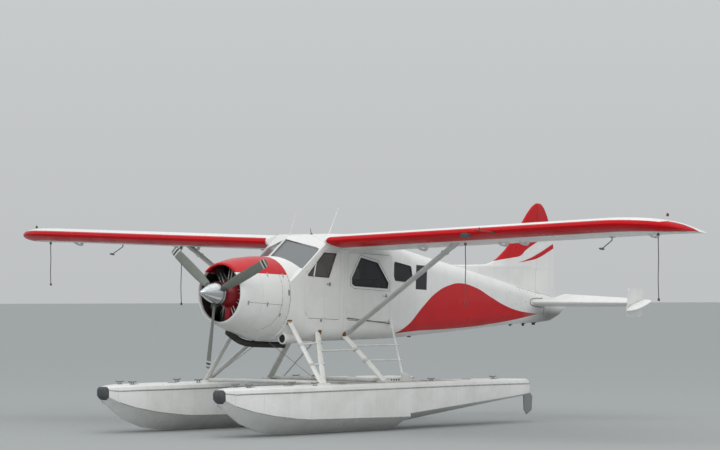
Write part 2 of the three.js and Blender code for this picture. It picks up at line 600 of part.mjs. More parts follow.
// Engine cowl: y, half width, top, bottom
const COWL = [
  [80, 458, 458, -458],
  [84, 469, 469, -469],
  [96, 482, 482, -482],
  [118, 493, 492, -493],
  [160, 505, 500, -503],
  [300, 548, 541, -552],
  [470, 585, 576, -606],
  [740, 606, 608, -680],
  [880, 611, 616, -706],
  [CABIN_FRONT - GAP, 612, 622, -715],
];
const INLET_RADIUS = 442;
const COWL_SKIN = 14;
const COWL_SIDES = 44;
const cowlRing = ([y, w, top, bottom], inset) => Array.from({ length: COWL_SIDES }, (_, i) => {
  const a = (2 * Math.PI * i) / COWL_SIDES;
  const high = Math.sin(a) > 0 ? top - inset : -bottom - inset;
  return [(w - inset) * Math.cos(a), y, high * Math.sin(a)];
});
const cowlInside = [
  ...[[74, 22], [80, 11], [90, 3], [104, 0], [135, 0]].map(([y, flare]) => {
    const r = INLET_RADIUS + COWL_SKIN + flare;
    return [y, r, r, -r];
  }),
  ...COWL.slice(5, -1),
  [CABIN_FRONT + 1, 612, 622, -715],
];
const cowlShell = loft(COWL.map(row => cowlRing(row, 0)))
  .subtract(loft(cowlInside.map(row => cowlRing(row, COWL_SKIN))));
const COWL_SPLIT_Z = 330;          // lower edge of the red upper panel
const half = GAP / 2 + 1;
add(airframe, 'cowl_upper', cowlShell.intersect(box(-900, 900, 0, 1200, COWL_SPLIT_Z + half, 900)), RED);
add(airframe, 'cowl_left', cowlShell.intersect(box(half, 900, 0, 1200, -900, COWL_SPLIT_Z - half)), WHITE);
add(airframe, 'cowl_right', cowlShell.intersect(box(-900, -half, 0, 1200, -900, COWL_SPLIT_Z - half)), WHITE);

// Radial engine: crankcase profile as radius and y, then nine cylinders with their pushrod tubes
const CYLINDERS = 9;
const SHAFT_FRONT = 110;
const CRANKCASE = [
  [0, SHAFT_FRONT], [52, SHAFT_FRONT], [52, 150], [92, 160], [150, 210], [205, 285], [232, 330], [232, 470],
  [250, 500], [250, 560], [190, 620], [190, CABIN_FRONT - GAP], [0, CABIN_FRONT - GAP],
];
const engine = (() => {
  const lathe = new THREE.LatheGeometry(CRANKCASE.map(([r, y]) => new THREE.Vector2(r, y)), 24);
  let solid = toSolid(lathe);
  for (let i = 0; i < CYLINDERS; i++) {
    const a = rad(90 + (360 * i) / CYLINDERS);
    const at = (r, y, shift = 0) => [r * Math.cos(a) - shift * Math.sin(a), y, r * Math.sin(a) + shift * Math.cos(a)];
    solid = solid.add(rod(at(200, 410), at(400, 410), 70, 8)).add(rod(at(390, 410), at(505, 410), 88, 8));
    for (const shift of [-34, 34]) {
      solid = solid.add(rod(at(480, 380, shift), at(522, 380, shift), 26, 5))
        .add(rod(at(205, 300, shift * 0.8), at(500, 366, shift), 11, 4));
    }
  }
  return solid;
})();
add(airframe, 'engine', engine, DARK);

// Propeller: three blades, its hub and the pointed spinner
const BLADES = 3;
const BLADE_TILT = -5.9;           // degrees that the lowest blade stands from straight down
// radius, chord, thickness, angle from the disc in degrees
const BLADE = [
  [60, 84, 84, 60],
  [150, 88, 80, 56],
  [260, 120, 46, 44],
  [450, 147, 32, 34],
  [700, 153, 24, 26],
  [950, 147, 17, 20],
  [1110, 134, 12, 17],
  [1160, 116, 9, 16],
  [1175, 86, 7, 16],
];
const blade = loft(BLADE.map(([r, chord, thickness, angle]) => Array.from({ length: 14 }, (_, i) => {
  const t = (2 * Math.PI * i) / 14;
  const [u, v] = [(chord / 2) * Math.cos(t), (thickness / 2) * Math.sin(t)];
  const [c, s] = [Math.cos(rad(angle)), Math.sin(rad(angle))];
  return [u * c + v * s, -u * s + v * c, -r];
})));
const SPINNER = [[0, -346], [26, -322], [60, -270], [100, -196], [140, -110], [170, -30], [182, 30], [182, 44], [0, 44]];
const propeller = (() => {
  let solid = toSolid(new THREE.LatheGeometry(SPINNER.map(([r, y]) => new THREE.Vector2(r, y)), 28));
  solid = solid.add(rod([0, 40, 0], [0, SHAFT_FRONT - GAP, 0], 78, 16));
  for (let i = 0; i < BLADES; i++) {
    solid = solid.add(moved(blade, new THREE.Matrix4().makeRotationY(-rad(BLADE_TILT + (360 * i) / BLADES))));
  }
  return solid;
})();
add(airframe, 'propeller', propeller, GREY);
hinge('propeller', airframe, [0, 0, 0], [0, 1, 0]);

// Under the nose: the exhaust pipe and the oil cooler's scoop
const cowlOuterGrown = loft(COWL.map(([y, w, top, bottom], i) =>
  cowlRing([i ? y : y - 1, w, top, bottom], -GAP)));
const exhaust = toSolid(tube([[-120, 420, -590], [-124, 560, -662], [-130, 740, -730], [-130, 920, -758],
  [-130, 1300, -762], [-130, 1720, -756]], 52, 12, 10));
add(airframe, 'exhaust_pipe', exhaust.subtract(cowlOuterGrown).subtract(cabinForm(-GAP, CABIN_FRONT - 5)), DARK);
// y, radius, height of its middle
const SCOOP = [[1105, 77, -668], [1120, 90, -668], [1300, 94, -654], [1520, 72, -638], [1780, 20, -610]];
const SCOOP_X = 400;
const scoopRing = ([y, r, z], inset) => Array.from({ length: 16 }, (_, i) => {
  const a = (2 * Math.PI * i) / 16;
  return [SCOOP_X + (r - inset) * Math.cos(a), y, z + (r - inset) * Math.sin(a)];
});
const scoop = loft(SCOOP.map(row => scoopRing(row, 0)))
  .subtract(loft([[1100, 77, -668], [1230, 78, -662]].map(row => scoopRing(row, 6))));
add(airframe, 'oil_cooler_scoop', scoop.subtract(cabinForm(-GAP)), WHITE);

// Aerials on the roof: foot and tip
const AERIALS = { front: [[0, 1640, 940], [0, 1842, 1475]], rear: [[0, 2560, 1000], [0, 2830, 1536]] };
for (const [label, [foot, tip]] of Object.entries(AERIALS)) {
  const along = new THREE.Vector3(...tip).sub(new THREE.Vector3(...foot)).normalize();
  const ringAt = (p, r) => Array.from({ length: 6 }, (_, i) => {
    const a = (2 * Math.PI * i) / 6;
    return [p[0] + r * Math.cos(a), p[1] + r * Math.sin(a) * along.z, p[2] - r * Math.sin(a) * along.y];
  });
  const middle = foot.map((v, k) => v + 0.22 * (tip[k] - v));
  const mast = loft([ringAt(foot, 22), ringAt(middle, 13), ringAt(tip, 5)]);
  add(airframe, `aerial_${label}`, mast.subtract(cabinForm(-GAP)), WHITE);
}

// Cabin fittings that show through the glass
const cabinRoom = cabinForm(WALL + GAP, CABIN_FRONT + 40 + GAP, CABIN_REAR - 40 - GAP);
const SEAT_PROFILE = [[0, -800], [430, -800], [500, -200], [560, 330], [470, 360], [400, -120], [0, -150]];
const seatAt = (x0, x1, y) => sideProfile(SEAT_PROFILE.map(([dy, z]) => [y + dy, z]), x0, x1).intersect(cabinRoom);
for (const [label, side] of SIDES) {
  add(airframe, `seat_${label}`, seatAt(side > 0 ? 70 : -510, side > 0 ? 510 : -70, 1690), SEAT);
}
add(airframe, 'bench_seat', seatAt(-540, 540, 2760), SEAT);
add(airframe, 'instrument_panel', sideProfile([[1290, 60], [1345, 60], [1345, 340], [1290, 340]], -610, 610)
  .add(sideProfile([[1290, 339], [1345, 339], [1345, 470], [1290, 470]], -425, 425)).intersect(cabinRoom), DARK);

// Floats
// y, half beam, keel, chine, deck
const FLOAT = [
  [-1200, 118, 515, 570, 728],
  [-1050, 205, 372, 480, 742],
  [-780, 285, 205, 395, 750],
  [-380, 350, 70, 318, 750],
  [100, 378, 6, 262, 750],
  [400, 380, 0, 240, 750],
  [2750, 380, 0, 205, 750],
  [2752, 380, 105, 262, 750],
  [4300, 335, 262, 372, 748],
  [5500, 250, 384, 450, 738],
  [6060, 172, 436, 486, 722],
];
const KEEL_HALF = 20;
const DECK_RADIUS = 90;
function floatRing([y, beam, keel, chine, deck]) {
  const r = Math.min(DECK_RADIUS, beam * 0.5);
  const port = [[KEEL_HALF, keel], [beam * 0.62, keel + (chine - keel) * 0.72], [beam, chine],
    [beam, deck - r], [beam - r * 0.3, deck - r * 0.3], [beam - r, deck]];
  const starboard = port.slice().reverse().map(([x, z]) => [-x, z]);
  return [...port, ...starboard].map(([x, z]) => [x, y, z]);
}
const floatHull = loft(FLOAT.map(floatRing));
const BOW_Y = FLOAT[0][0];
// Rubber bumper on the bow: y, half width, bottom, top
const BUMPER = [[BOW_Y - GAP, 116, 518, 724], [BOW_Y - 50, 100, 535, 722], [BOW_Y - 88, 58, 580, 700]];
const bumper = loft(BUMPER.map(([y, w, bottom, top]) => [
  [w * 0.45, bottom], [w, bottom + 50], [w, top - 40], [w * 0.6, top],
  [-w * 0.6, top], [-w, top - 40], [-w, bottom + 50], [-w * 0.45, bottom]].map(([x, z]) => [x, y, z])));

// Water rudder under the stern, on a pin through the stern's bracket
const STERN_Y = FLOAT[FLOAT.length - 1][0];
const WATER_RUDDER_Y = STERN_Y + 70;
const sternBracket = box(-30, 30, STERN_Y - 20, WATER_RUDDER_Y + 24, 560, 600);
const waterRudderBlade = join(
  sideProfile([[WATER_RUDDER_Y - 26, 560 - GAP], [WATER_RUDDER_Y + 60, 560 - GAP], [WATER_RUDDER_Y + 210, 420],
    [WATER_RUDDER_Y + 190, 190], [WATER_RUDDER_Y + 60, 120], [WATER_RUDDER_Y - 10, 200]], -9, 9),
  rod([0, WATER_RUDDER_Y, 540], [0, WATER_RUDDER_Y, 640], 11, 12));
const floatSolid = floatHull.add(sternBracket)
  .subtract(rod([0, WATER_RUDDER_Y, 500], [0, WATER_RUDDER_Y, 700], 11 + GAP, 12, true));

const waterRudderClear = box(-12, 12, STERN_Y + 38, STERN_Y + 400, 0, 560);
for (const [label, side] of SIDES) {
  const place = new THREE.Matrix4().makeTranslation(side * FLOAT_X, 0, 0);
  add(standing, `float_${label}`, moved(floatSolid, place), WHITE);
  add(standing, `bow_bumper_${label}`, moved(bumper, place), RUBBER);
  add(standing, `water_rudder_${label}`, moved(waterRudderBlade.intersect(join(waterRudderClear,
    box(-40, 40, STERN_Y, STERN_Y + 400, 540, 700), box(-12, 12, STERN_Y + 38, STERN_Y + 400, 0, 561))), place), METAL);
  hinge(`water_rudder_${label}`, standing, [side * FLOAT_X, WATER_RUDDER_Y, 600], [0, 0, 1]);
}

// Float gear, in the standing frame: struts from the cabin to feet on the decks, joined by a spreader tube
const cabinStanding = moved(cabinForm(-GAP), toStanding);
const FOOT = { front: 1065, rear: 2560, half: 80, height: 26 };
// Upper ends at the cabin's port side, in the airframe's frame
const GEAR_HEADS = { firewall: [504, 1124, -352], middle: [557, 1758, -509], rear: [529, 2387, -550] };
const foot = y => box(FLOAT_X - 95, FLOAT_X + 95, y - FOOT.half, y + FOOT.half, DECK_Z + GAP, DECK_Z + FOOT.height);
const footTop = (y, dx = 0) => [FLOAT_X + dx, y, DECK_Z + 14];
const lerpPoint = (a, b, t) => a.map((v, k) => v + t * (b[k] - v));
const LEG = { deep: 106, thick: 50 };
const REAR_LEG = { deep: 142, thick: 64 };
const aboveDeck = box(-2000, 2000, -2000, 7000, DECK_Z + GAP, 3000);
const leg = (head, y, { deep, thick } = LEG) => strut(standingPoint(head), footTop(y), deep, thick)
  .subtract(cabinStanding).intersect(aboveDeck);
const bar = (a, b) => rod(a, b, 14, 6);
const spreader = y => rod([-FLOAT_X, y, DECK_Z + 32], [FLOAT_X, y, DECK_Z + 32], 30, 12);

const [headF, headM, headR] = ['firewall', 'middle', 'rear'].map(k => standingPoint(GEAR_HEADS[k]));
const [footF, footM, footR] = [footTop(FOOT.front, 0), footTop(FOOT.front + 45), footTop(FOOT.rear)];
// Where a step bar meets a leg at a height above the deck
const onLeg = (head, base, height) => lerpPoint(base, head, (DECK_Z + height - base[2]) / (head[2] - base[2]));
const frontHalf = join(foot(FOOT.front + 20), leg(GEAR_HEADS.firewall, FOOT.front), leg(GEAR_HEADS.middle, FOOT.front + 45));
const rearLegRoom = strut(headR, footR, REAR_LEG.deep + 2 * GAP, REAR_LEG.thick + 2 * GAP);
// Step bars, on the port side alone
const steps = join(bar(onLeg(headF, footF, 610), onLeg(headM, footM, 640)), bar(onLeg(headF, footF, 300), onLeg(headM, footM, 310)),
  bar(onLeg(headM, footM, 510), onLeg(headR, footR, 512)).subtract(rearLegRoom));
const rearHalf = join(foot(FOOT.rear), leg(GEAR_HEADS.rear, FOOT.rear, REAR_LEG));
add(standing, 'float_gear_front', join(frontHalf, steps, mirrored(frontHalf), spreader(FOOT.front + 20)), WHITE);
add(standing, 'float_gear_rear', join(rearHalf, mirrored(rearHalf), spreader(FOOT.rear)), WHITE);

// Boarding ladder behind the rear leg. On the port side it has two rungs and stands on a plate with a
// rounded end; on the starboard side it is a plain strut that stands on the deck.
const LADDER_HEAD = standingPoint([630, 3440, -300]);
const LADDER_FOOT = { left: [FLOAT_X, 2997, DECK_Z + 95], right: [FLOAT_X, 2860, DECK_Z + 12] };
const PLATE = [[2668, 0], [2668, 66], [2960, 70], [2985, 146],
  ...[90, 72, 54, 36, 18, 0].map(a => [3010 + 225 * Math.cos(rad(a)), 150 * Math.sin(rad(a))])]
  .map(([y, z]) => [y, DECK_Z + GAP + z]);
const rungs = [575, 340].map(height => {
  const [outer, inner] = [onLeg(LADDER_HEAD, LADDER_FOOT.left, height), onLeg(headR, footR, height)];
  return bar(lerpPoint(inner, outer, 1.08), inner);
});
const ladders = {
  left: join(strut(LADDER_HEAD, LADDER_FOOT.left, 44, 30, 8), sideProfile(PLATE, FLOAT_X - 7, FLOAT_X + 7), ...rungs)
    .subtract(rearLegRoom),
  right: mirrored(join(strut(LADDER_HEAD, LADDER_FOOT.right, 44, 30, 8),
    box(FLOAT_X - 40, FLOAT_X + 40, 2815, 2905, DECK_Z + GAP, DECK_Z + 14)).intersect(aboveDeck)),
};
for (const [label] of SIDES) add(standing, `ladder_${label}`, ladders[label].subtract(cabinStanding), WHITE);

// Mooring ropes that hang free from the wing's eyes: shares of the drop, and drifts in X and Y
const ROPE_RADIUS = 7;
const ROPE_ROUTE = [
  [0, 0, 0], [0.04, 0, 0], [0.1, 1, -1], [0.17, 2, -1], [0.24, 3, 0], [0.31, 3, 2], [0.38, 2, 3], [0.45, 0, 3],
  [0.52, -2, 2], [0.59, -3, 0], [0.66, -3, -2], [0.73, -1, -3], [0.8, 1, -3], [0.87, 3, -2], [0.94, 4, 0], [1, 4, 1],
];
// name, index of the eye, side, length
const ROPES = [
  ['rope_inner_left', 0, 1, 920],
  ['rope_outer_left', 1, 1, 960],
  ['rope_inner_right', 0, -1, 940],
  ['rope_outer_right', 1, -1, 720],
];
for (const [name, eye, side, length] of ROPES) {
  const [ex, ey, ez] = wingBottom(...EYES[eye]);
  const [x, y, z] = standingPoint([side * ex, ey, ez - EYE.drop]);
  const route = ROPE_ROUTE.map(([t, dx, dy]) => [x + dx, y + dy, z - 1 - t * length]);
  add(standing, name, tube(route, ROPE_RADIUS, 20), ROPE);
}

// The origin is on the floor, under the middle of the whole object
root.updateMatrixWorld(true);
const bounds = new THREE.Box3().setFromObject(root, true);
const middle = bounds.getCenter(new THREE.Vector3());
standing.position.set(-middle.x, -middle.y, -bounds.min.z);
root.updateMatrixWorld(true);

// Hinge lines in the finished part's frame, for whoever joins its pieces
root.userData.hinges = hinges.map(({ name, group, point, axis }) => ({
  name,
  point: new THREE.Vector3(...point).applyMatrix4(group.matrixWorld).toArray(),
  axis: new THREE.Vector3(...axis).transformDirection(group.matrixWorld).toArray(),
}));

export default root;
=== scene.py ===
# %% [markdown]
# # A floatplane on its floats
# A high-wing aircraft with one radial engine and two long floats. The CAD frame already holds every part that
# carries load or moves, in metres. This lesson gives those parts their surfaces and adds the small fittings:
# fins on the cylinders, latches, gaskets, brace wires, cleats, lines and lamps.

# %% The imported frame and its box
import json
import math
import bmesh
import bpy
from mathutils import Matrix, Vector


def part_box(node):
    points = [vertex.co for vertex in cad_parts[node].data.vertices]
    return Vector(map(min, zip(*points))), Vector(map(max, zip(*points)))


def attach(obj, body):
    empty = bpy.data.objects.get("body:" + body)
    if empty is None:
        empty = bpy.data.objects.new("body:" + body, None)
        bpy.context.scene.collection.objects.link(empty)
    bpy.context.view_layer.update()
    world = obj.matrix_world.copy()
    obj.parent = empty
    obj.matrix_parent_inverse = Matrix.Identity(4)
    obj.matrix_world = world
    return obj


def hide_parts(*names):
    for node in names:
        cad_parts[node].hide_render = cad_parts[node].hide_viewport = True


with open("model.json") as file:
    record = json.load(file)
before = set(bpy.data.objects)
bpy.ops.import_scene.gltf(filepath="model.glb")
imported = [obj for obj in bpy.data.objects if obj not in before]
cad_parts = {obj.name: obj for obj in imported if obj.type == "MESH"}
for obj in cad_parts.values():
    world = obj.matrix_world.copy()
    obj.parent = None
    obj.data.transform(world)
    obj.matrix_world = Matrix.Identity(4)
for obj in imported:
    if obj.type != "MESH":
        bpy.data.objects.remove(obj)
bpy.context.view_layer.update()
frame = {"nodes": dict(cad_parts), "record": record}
nodes = frame["nodes"]

# %% [markdown]
# ## The airframe's own frame
# The floats stand level, and the airframe above them is turned nose up by 2.5 degrees. Its fittings are easiest to
# place in the airframe's own frame, with the propeller's centre at the origin and the thrust line along Y, so one
# matrix takes a mesh from there to the row frame.

# %% The airframe's own frame
HUB_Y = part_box("float_left")[0][1] + 1.200  # the floats reach 1.2 m ahead of the propeller's centre
HUB_HEIGHT = 2.171
NOSE_UP = math.radians(-2.5)
DIHEDRAL = math.tan(math.radians(2))
CHORD_DROP = math.tan(-NOSE_UP)  # the wing's chord lies level on the standing aircraft
HALF_TRACK = 1.25  # from the aircraft's middle to a float's middle
CABIN_HALF = 0.62  # half the width between the cabin's flat sides
ON_FLOATS = Matrix.Translation((0, HUB_Y, 0))
AIRFRAME = Matrix.Translation((0, HUB_Y, HUB_HEIGHT)) @ Matrix.Rotation(NOSE_UP, 4, "X")
STANDING = Matrix.Identity(4)  # for meshes that are in the row frame already
print("the hub stands at", [0, round(HUB_Y, 4), HUB_HEIGHT])

# %% [markdown]
# ## The camera
# The photograph was taken with a long lens from about 48 m away, ahead of the port wing. That is why the wings
# hardly change in width towards their tips. Place, turn and lens were solved from known places on the aircraft.

# %% Camera
lens = bpy.data.cameras.new("long_lens_camera")
lens.sensor_width, lens.lens, lens.clip_end = 36, 154.408, 1000
camera = bpy.data.objects.new("long_lens_camera", lens)
bpy.context.scene.collection.objects.link(camera)
camera.matrix_world = (Matrix.Translation((33.3710, HUB_Y - 34.5404, 2.3351))
                       @ Matrix.Rotation(math.radians(41.335), 4, "Z")
                       @ Matrix.Rotation(math.radians(91.064), 4, "X")
                       @ Matrix.Rotation(math.radians(-0.1206), 4, "Z"))
bpy.context.scene.camera = camera
print("camera at", [round(v, 2) for v in camera.location])

# %% [markdown]
# ## Selecting and settling
# An operator acts on all that is selected, so these helpers select one piece alone. A finished piece gets its name,
# its place in the row frame, a finish and the body that it rides on in one call.

# %% Helpers for selecting and settling a piece
def take(*pieces):
    """Selects these objects alone and makes the last of them active."""
    if bpy.context.object and bpy.context.object.mode != "OBJECT":
        bpy.ops.object.mode_set(mode="OBJECT")
    bpy.ops.object.select_all(action="DESELECT")
    for piece in pieces:
        piece.select_set(True)
        bpy.context.view_layer.objects.active = piece


def apply_all(piece):
    """Applies every modifier in its order."""
    take(piece)
    for modifier in list(piece.modifiers):
        bpy.ops.object.modifier_apply(modifier=modifier.name)
    return piece


def settle(piece, name, body, finish, place=AIRFRAME, angle=35):
    """Names a piece, moves its mesh to the row frame, and gives it a finish and a body to ride on."""
    take(piece)
    bpy.ops.object.transform_apply(location=True, rotation=True, scale=True)
    piece.data.transform(place)
    piece.name = piece.data.name = name
    piece.data.materials.clear()
    piece.data.materials.append(finish)
    bpy.ops.object.shade_smooth_by_angle(angle=math.radians(angle))
    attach(piece, body)
    return piece


def joined(pieces):
    """One object from several, all applied first."""
    take(*pieces)
    bpy.ops.object.transform_apply(location=True, rotation=True, scale=True)
    bpy.ops.object.join()
    return bpy.context.object


def copied(piece, matrix):
    """A copy with its own mesh, moved by a matrix. A mirrored copy is turned the right way out again."""
    twin = piece.copy()
    twin.data = piece.data.copy()
    bpy.context.scene.collection.objects.link(twin)
    twin.data.transform(matrix)
    if matrix.determinant() < 0:
        twin.data.flip_normals()
    return twin


MIRROR = Matrix.Diagonal((-1, 1, 1, 1))


def both_sides(piece):
    """The piece joined with its mirror image across the aircraft's middle."""
    take(piece)
    bpy.ops.object.transform_apply(location=True, rotation=True, scale=True)
    return joined([copied(piece, MIRROR), piece])


print("helpers ready")

# %% [markdown]
# ## Rods, tubes and wires
# Much of an aircraft is tube. A rod starts as a cylinder between two points, and its rims are bevelled, because a
# sawn tube end never has a razor edge. A bent tube or a gasket follows a line of points instead.

# %% Helpers for rods and bent tubes
def rod(start, end, radius, end_radius=None, sides=12, rim=0.25):
    """A bevelled rod or cone between two points."""
    start, end = Vector(start), Vector(end)
    bpy.ops.mesh.primitive_cone_add(vertices=sides, radius1=radius, radius2=end_radius or radius,
                                    depth=(end - start).length, location=(start + end) / 2,
                                    rotation=(end - start).to_track_quat("Z", "Y").to_euler())
    piece = bpy.context.object
    bevel = piece.modifiers.new("rim", "BEVEL")
    bevel.width = radius * rim
    bevel.limit_method = "ANGLE"
    bevel.angle_limit = math.radians(50)
    return apply_all(piece)


def tube(points, radius, closed=False, sides=6, smooth=False):
    """A tube along a line of points."""
    line = bpy.data.curves.new("line", "CURVE")
    line.dimensions = "3D"
    line.bevel_depth = radius
    line.bevel_resolution = max(sides // 4, 1)
    line.resolution_u = 6
    line.use_fill_caps = not closed
    spline = line.splines.new("NURBS" if smooth else "POLY")
    spline.points.add(len(points) - 1)
    for point, place in zip(spline.points, points):
        point.co = (*place, 1)
    spline.use_cyclic_u = closed
    if smooth:
        spline.order_u = 3
        spline.use_endpoint_u = not closed
    piece = bpy.data.objects.new("line", line)
    bpy.context.scene.collection.objects.link(piece)
    take(piece)
    bpy.ops.object.convert(target="MESH")
    return bpy.context.object


def block(low, high, edge=0.003, segments=2):
    """A box between two corners with rounded edges."""
    low, high = Vector(low), Vector(high)
    bpy.ops.mesh.primitive_cube_add(size=1, location=(low + high) / 2, scale=high - low)
    piece = bpy.context.object
    bpy.ops.object.transform_apply(location=True, rotation=True, scale=True)
    bevel = piece.modifiers.new("edges", "BEVEL")
    bevel.width = edge
    bevel.segments = segments
    return apply_all(piece)


print("rod, tube and block ready")

# %% [markdown]
# ## Colours and nodes
# Colours are read from the photograph as sRGB hex values, and Blender's shaders want linear ones. One small
# function adds a node with its settings and links, so that a material reads as a recipe.

# %% Colour and node helpers
def linear(hex_colour):
    """sRGB hex to a linear RGBA colour."""
    parts = [int(hex_colour[i:i + 2], 16) / 255 for i in (1, 3, 5)]
    return (*(p / 12.92 if p <= 0.04045 else ((p + 0.055) / 1.055) ** 2.4 for p in parts), 1)


def add(material, kind, links=None, **settings):
    """Adds a node. `links` gives each named or numbered input a value, or the output of another node."""
    made = material.node_tree.nodes.new("ShaderNode" + kind)
    for key, value in settings.items():
        setattr(made, key, value)
    for key, value in (links or {}).items():
        if isinstance(value, bpy.types.NodeSocket):
            material.node_tree.links.new(value, made.inputs[key])
        else:
            made.inputs[key].default_value = value
    return made.outputs


def finish(name, colour, roughness, metallic=0.0, coat=0.0):
    """A new material with its steady values set on the shader itself."""
    material = bpy.data.materials.new(name)
    material.use_nodes = True
    shader = material.node_tree.nodes["Principled BSDF"]
    shader.inputs["Base Color"].default_value = linear(colour)
    shader.inputs["Roughness"].default_value = roughness
    shader.inputs["Metallic"].default_value = metallic
    shader.inputs["Coat Weight"].default_value = coat
    return material, shader


def feed(material, shader, **sockets):
    """Links outputs to the shader's inputs, with _ for a space in a name."""
    for key, value in sockets.items():
        material.node_tree.links.new(value, shader.inputs[key.replace("_", " ")])
    return material


print("white enamel in linear light:", [round(v, 3) for v in linear("#ecece9")])

# %% [markdown]
# ## Gloss enamel on riveted sheet
# The airframe is aluminium sheet on frames and ribs, riveted, primed and sprayed with gloss enamel. Close up it
# shows a lap seam at each frame, a row of rivet heads beside it and a film of grime. Real rivets are 5 mm wide,
# too fine to show from 48 m away, so these are drawn 9 mm wide and 45 mm apart. Four layers make the finish: one
# ground colour or a livery, a bump for seams and rivets, noise of half a metre for the film, and a thin clear gloss
# on top.

# %% Enamel over seams and rivets
def airframe_place(paint):
    """The shaded point in the airframe's own frame, as a vector and as its three parts."""
    where = add(paint, "TexCoord")["Object"]
    place = add(paint, "Mapping", {"Vector": where, "Location": (0, HUB_Y, HUB_HEIGHT),
                                   "Rotation": (NOSE_UP, 0, 0)}, vector_type="TEXTURE")[0]
    return place, add(paint, "SeparateXYZ", {0: place})


def enamel(name, colour, along="Y", pitch=0.46, grime=0.16, livery=None, gloss=0.24):
    """Gloss enamel. `along` is the axis that crosses the seams, `pitch` their distance; `livery` makes the ground."""
    paint, shader = finish(name, colour, 0.3, coat=gloss / 2)
    shader.inputs["Coat Roughness"].default_value = 0.12
    shader.inputs["Specular IOR Level"].default_value = gloss
    place, axes = airframe_place(paint)
    across = axes["Z" if along == "Y" else "Y"]
    seam = add(paint, "Math", {0: axes[along], 1: pitch / 2}, operation="PINGPONG")[0]
    line = add(paint, "MapRange", {0: seam, 1: 0.0012, 2: 0.0035, 3: 1.0, 4: 0.0})[0]
    # a rivet row 16 mm beside each seam, folded at half its 45 mm pitch
    beside = add(paint, "Math", {0: seam, 1: 0.016}, operation="SUBTRACT")[0]
    row = add(paint, "Math", {0: across, 1: 0.0225}, operation="PINGPONG")[0]
    spot = add(paint, "CombineXYZ", {"X": beside, "Y": row})[0]
    far = add(paint, "VectorMath", {0: spot}, operation="LENGTH")["Value"]
    rivet = add(paint, "MapRange", {0: far, 1: 0.002, 2: 0.0045, 3: 1.0, 4: 0.0})[0]
    relief = add(paint, "Math", {0: rivet, 1: line}, operation="SUBTRACT")[0]
    normal = add(paint, "Bump", {"Height": relief, "Strength": 0.5, "Distance": 0.0012})[0]
    # grime: a patchy film, and a little more in each seam
    grime_and_shade = add(paint, "TexNoise", {"Vector": place, "Scale": 2.2, "Detail": 5.0, "Roughness": 0.6})[0]
    haze = add(paint, "MapRange", {0: grime_and_shade, 1: 0.42, 2: 0.72, 3: 0.0, 4: grime})[0]
    soil = add(paint, "Math", {0: haze, 1: add(paint, "Math", {0: line, 1: 0.45}, operation="MULTIPLY")[0]},
               operation="MAXIMUM")[0]
    ground = livery(paint, place, axes) if livery else linear(colour)
    dull = add(paint, "MixRGB", {0: 1.0, 1: ground, 2: linear("#b9b6ac")}, blend_type="MULTIPLY")[0]
    shade = add(paint, "MixRGB", {0: soil, 1: ground, 2: dull})[0]
    rough = add(paint, "MapRange", {0: grime_and_shade, 1: 0.3, 2: 0.8, 3: 0.24, 4: 0.5})[0]
    return feed(paint, shader, Base_Color=shade, Normal=normal, Roughness=rough)


WHITE, RED = "#ecece9", "#c80c18"
white_enamel = enamel("white gloss enamel on riveted sheet", WHITE)
red_enamel = enamel("red gloss enamel on riveted sheet", RED)
print("plain enamels:", white_enamel.name, "/", red_enamel.name)

# %% [markdown]
# ## Painting by place
# A painter masks each field with tape along a measured line. Here the line is a Float Curve, which gives the height
# of an edge at a place along the body, or a sum of the place's parts, and the mask turns from 0 to 1 within 4 mm of
# it. So the livery needs no picture, and it runs on across doors, joints and panels.

# %% Masks for the liveries
TAPE_EDGE = 0.002  # paint thins out this far on each side of a masked line


def under(paint, value, limit):
    """1 where value is under limit, with an edge a few millimetres soft."""
    room = add(paint, "Math", {0: limit, 1: value}, operation="SUBTRACT")[0]
    return add(paint, "MapRange", {0: room, 1: -TAPE_EDGE, 2: TAPE_EDGE})[0]


def curve_height(paint, place_along, start, end, low, high, points):
    """The height of a smooth line at a place along the body, from a Float Curve with points in metres."""
    share = add(paint, "MapRange", {0: place_along, 1: start, 2: end})[0]
    curve = add(paint, "FloatCurve")["Value"].node
    line = curve.mapping.curves[0]
    scaled = [((y - start) / (end - start), (z - low) / (high - low)) for y, z in points]
    line.points[0].location, line.points[1].location = scaled[0], scaled[-1]
    for spot in scaled[1:-1]:
        line.points.new(*spot)
    curve.mapping.update()
    paint.node_tree.links.new(share, curve.inputs["Value"])
    return add(paint, "MapRange", {0: curve.outputs[0], 3: low, 4: high})[0]


def between(paint, axes, foot, top):
    """1 where the place is over one line and under another."""
    return add(paint, "Math", {0: under(paint, axes["Z"], top), 1: under(paint, foot, axes["Z"])},
               operation="MULTIPLY")[0]


def red_in(paint, mask):
    """White outside the mask and red inside it."""
    return add(paint, "MixRGB", {0: mask, 1: linear(WHITE), 2: linear(RED)})[0]


print("white", WHITE, "and red", RED)

# %% [markdown]
# ## The livery on the wings
# A red band runs along each leading edge. It starts in a round end beside the cabin, is about 90 mm deep over the
# top, follows the curve of the tip and dies away there. The distance behind the leading edge is compared with the
# band's depth, which shrinks over the top and grows beneath. The wings reflect less than the body, because from the
# ground they are seen almost edge on and would turn pale.

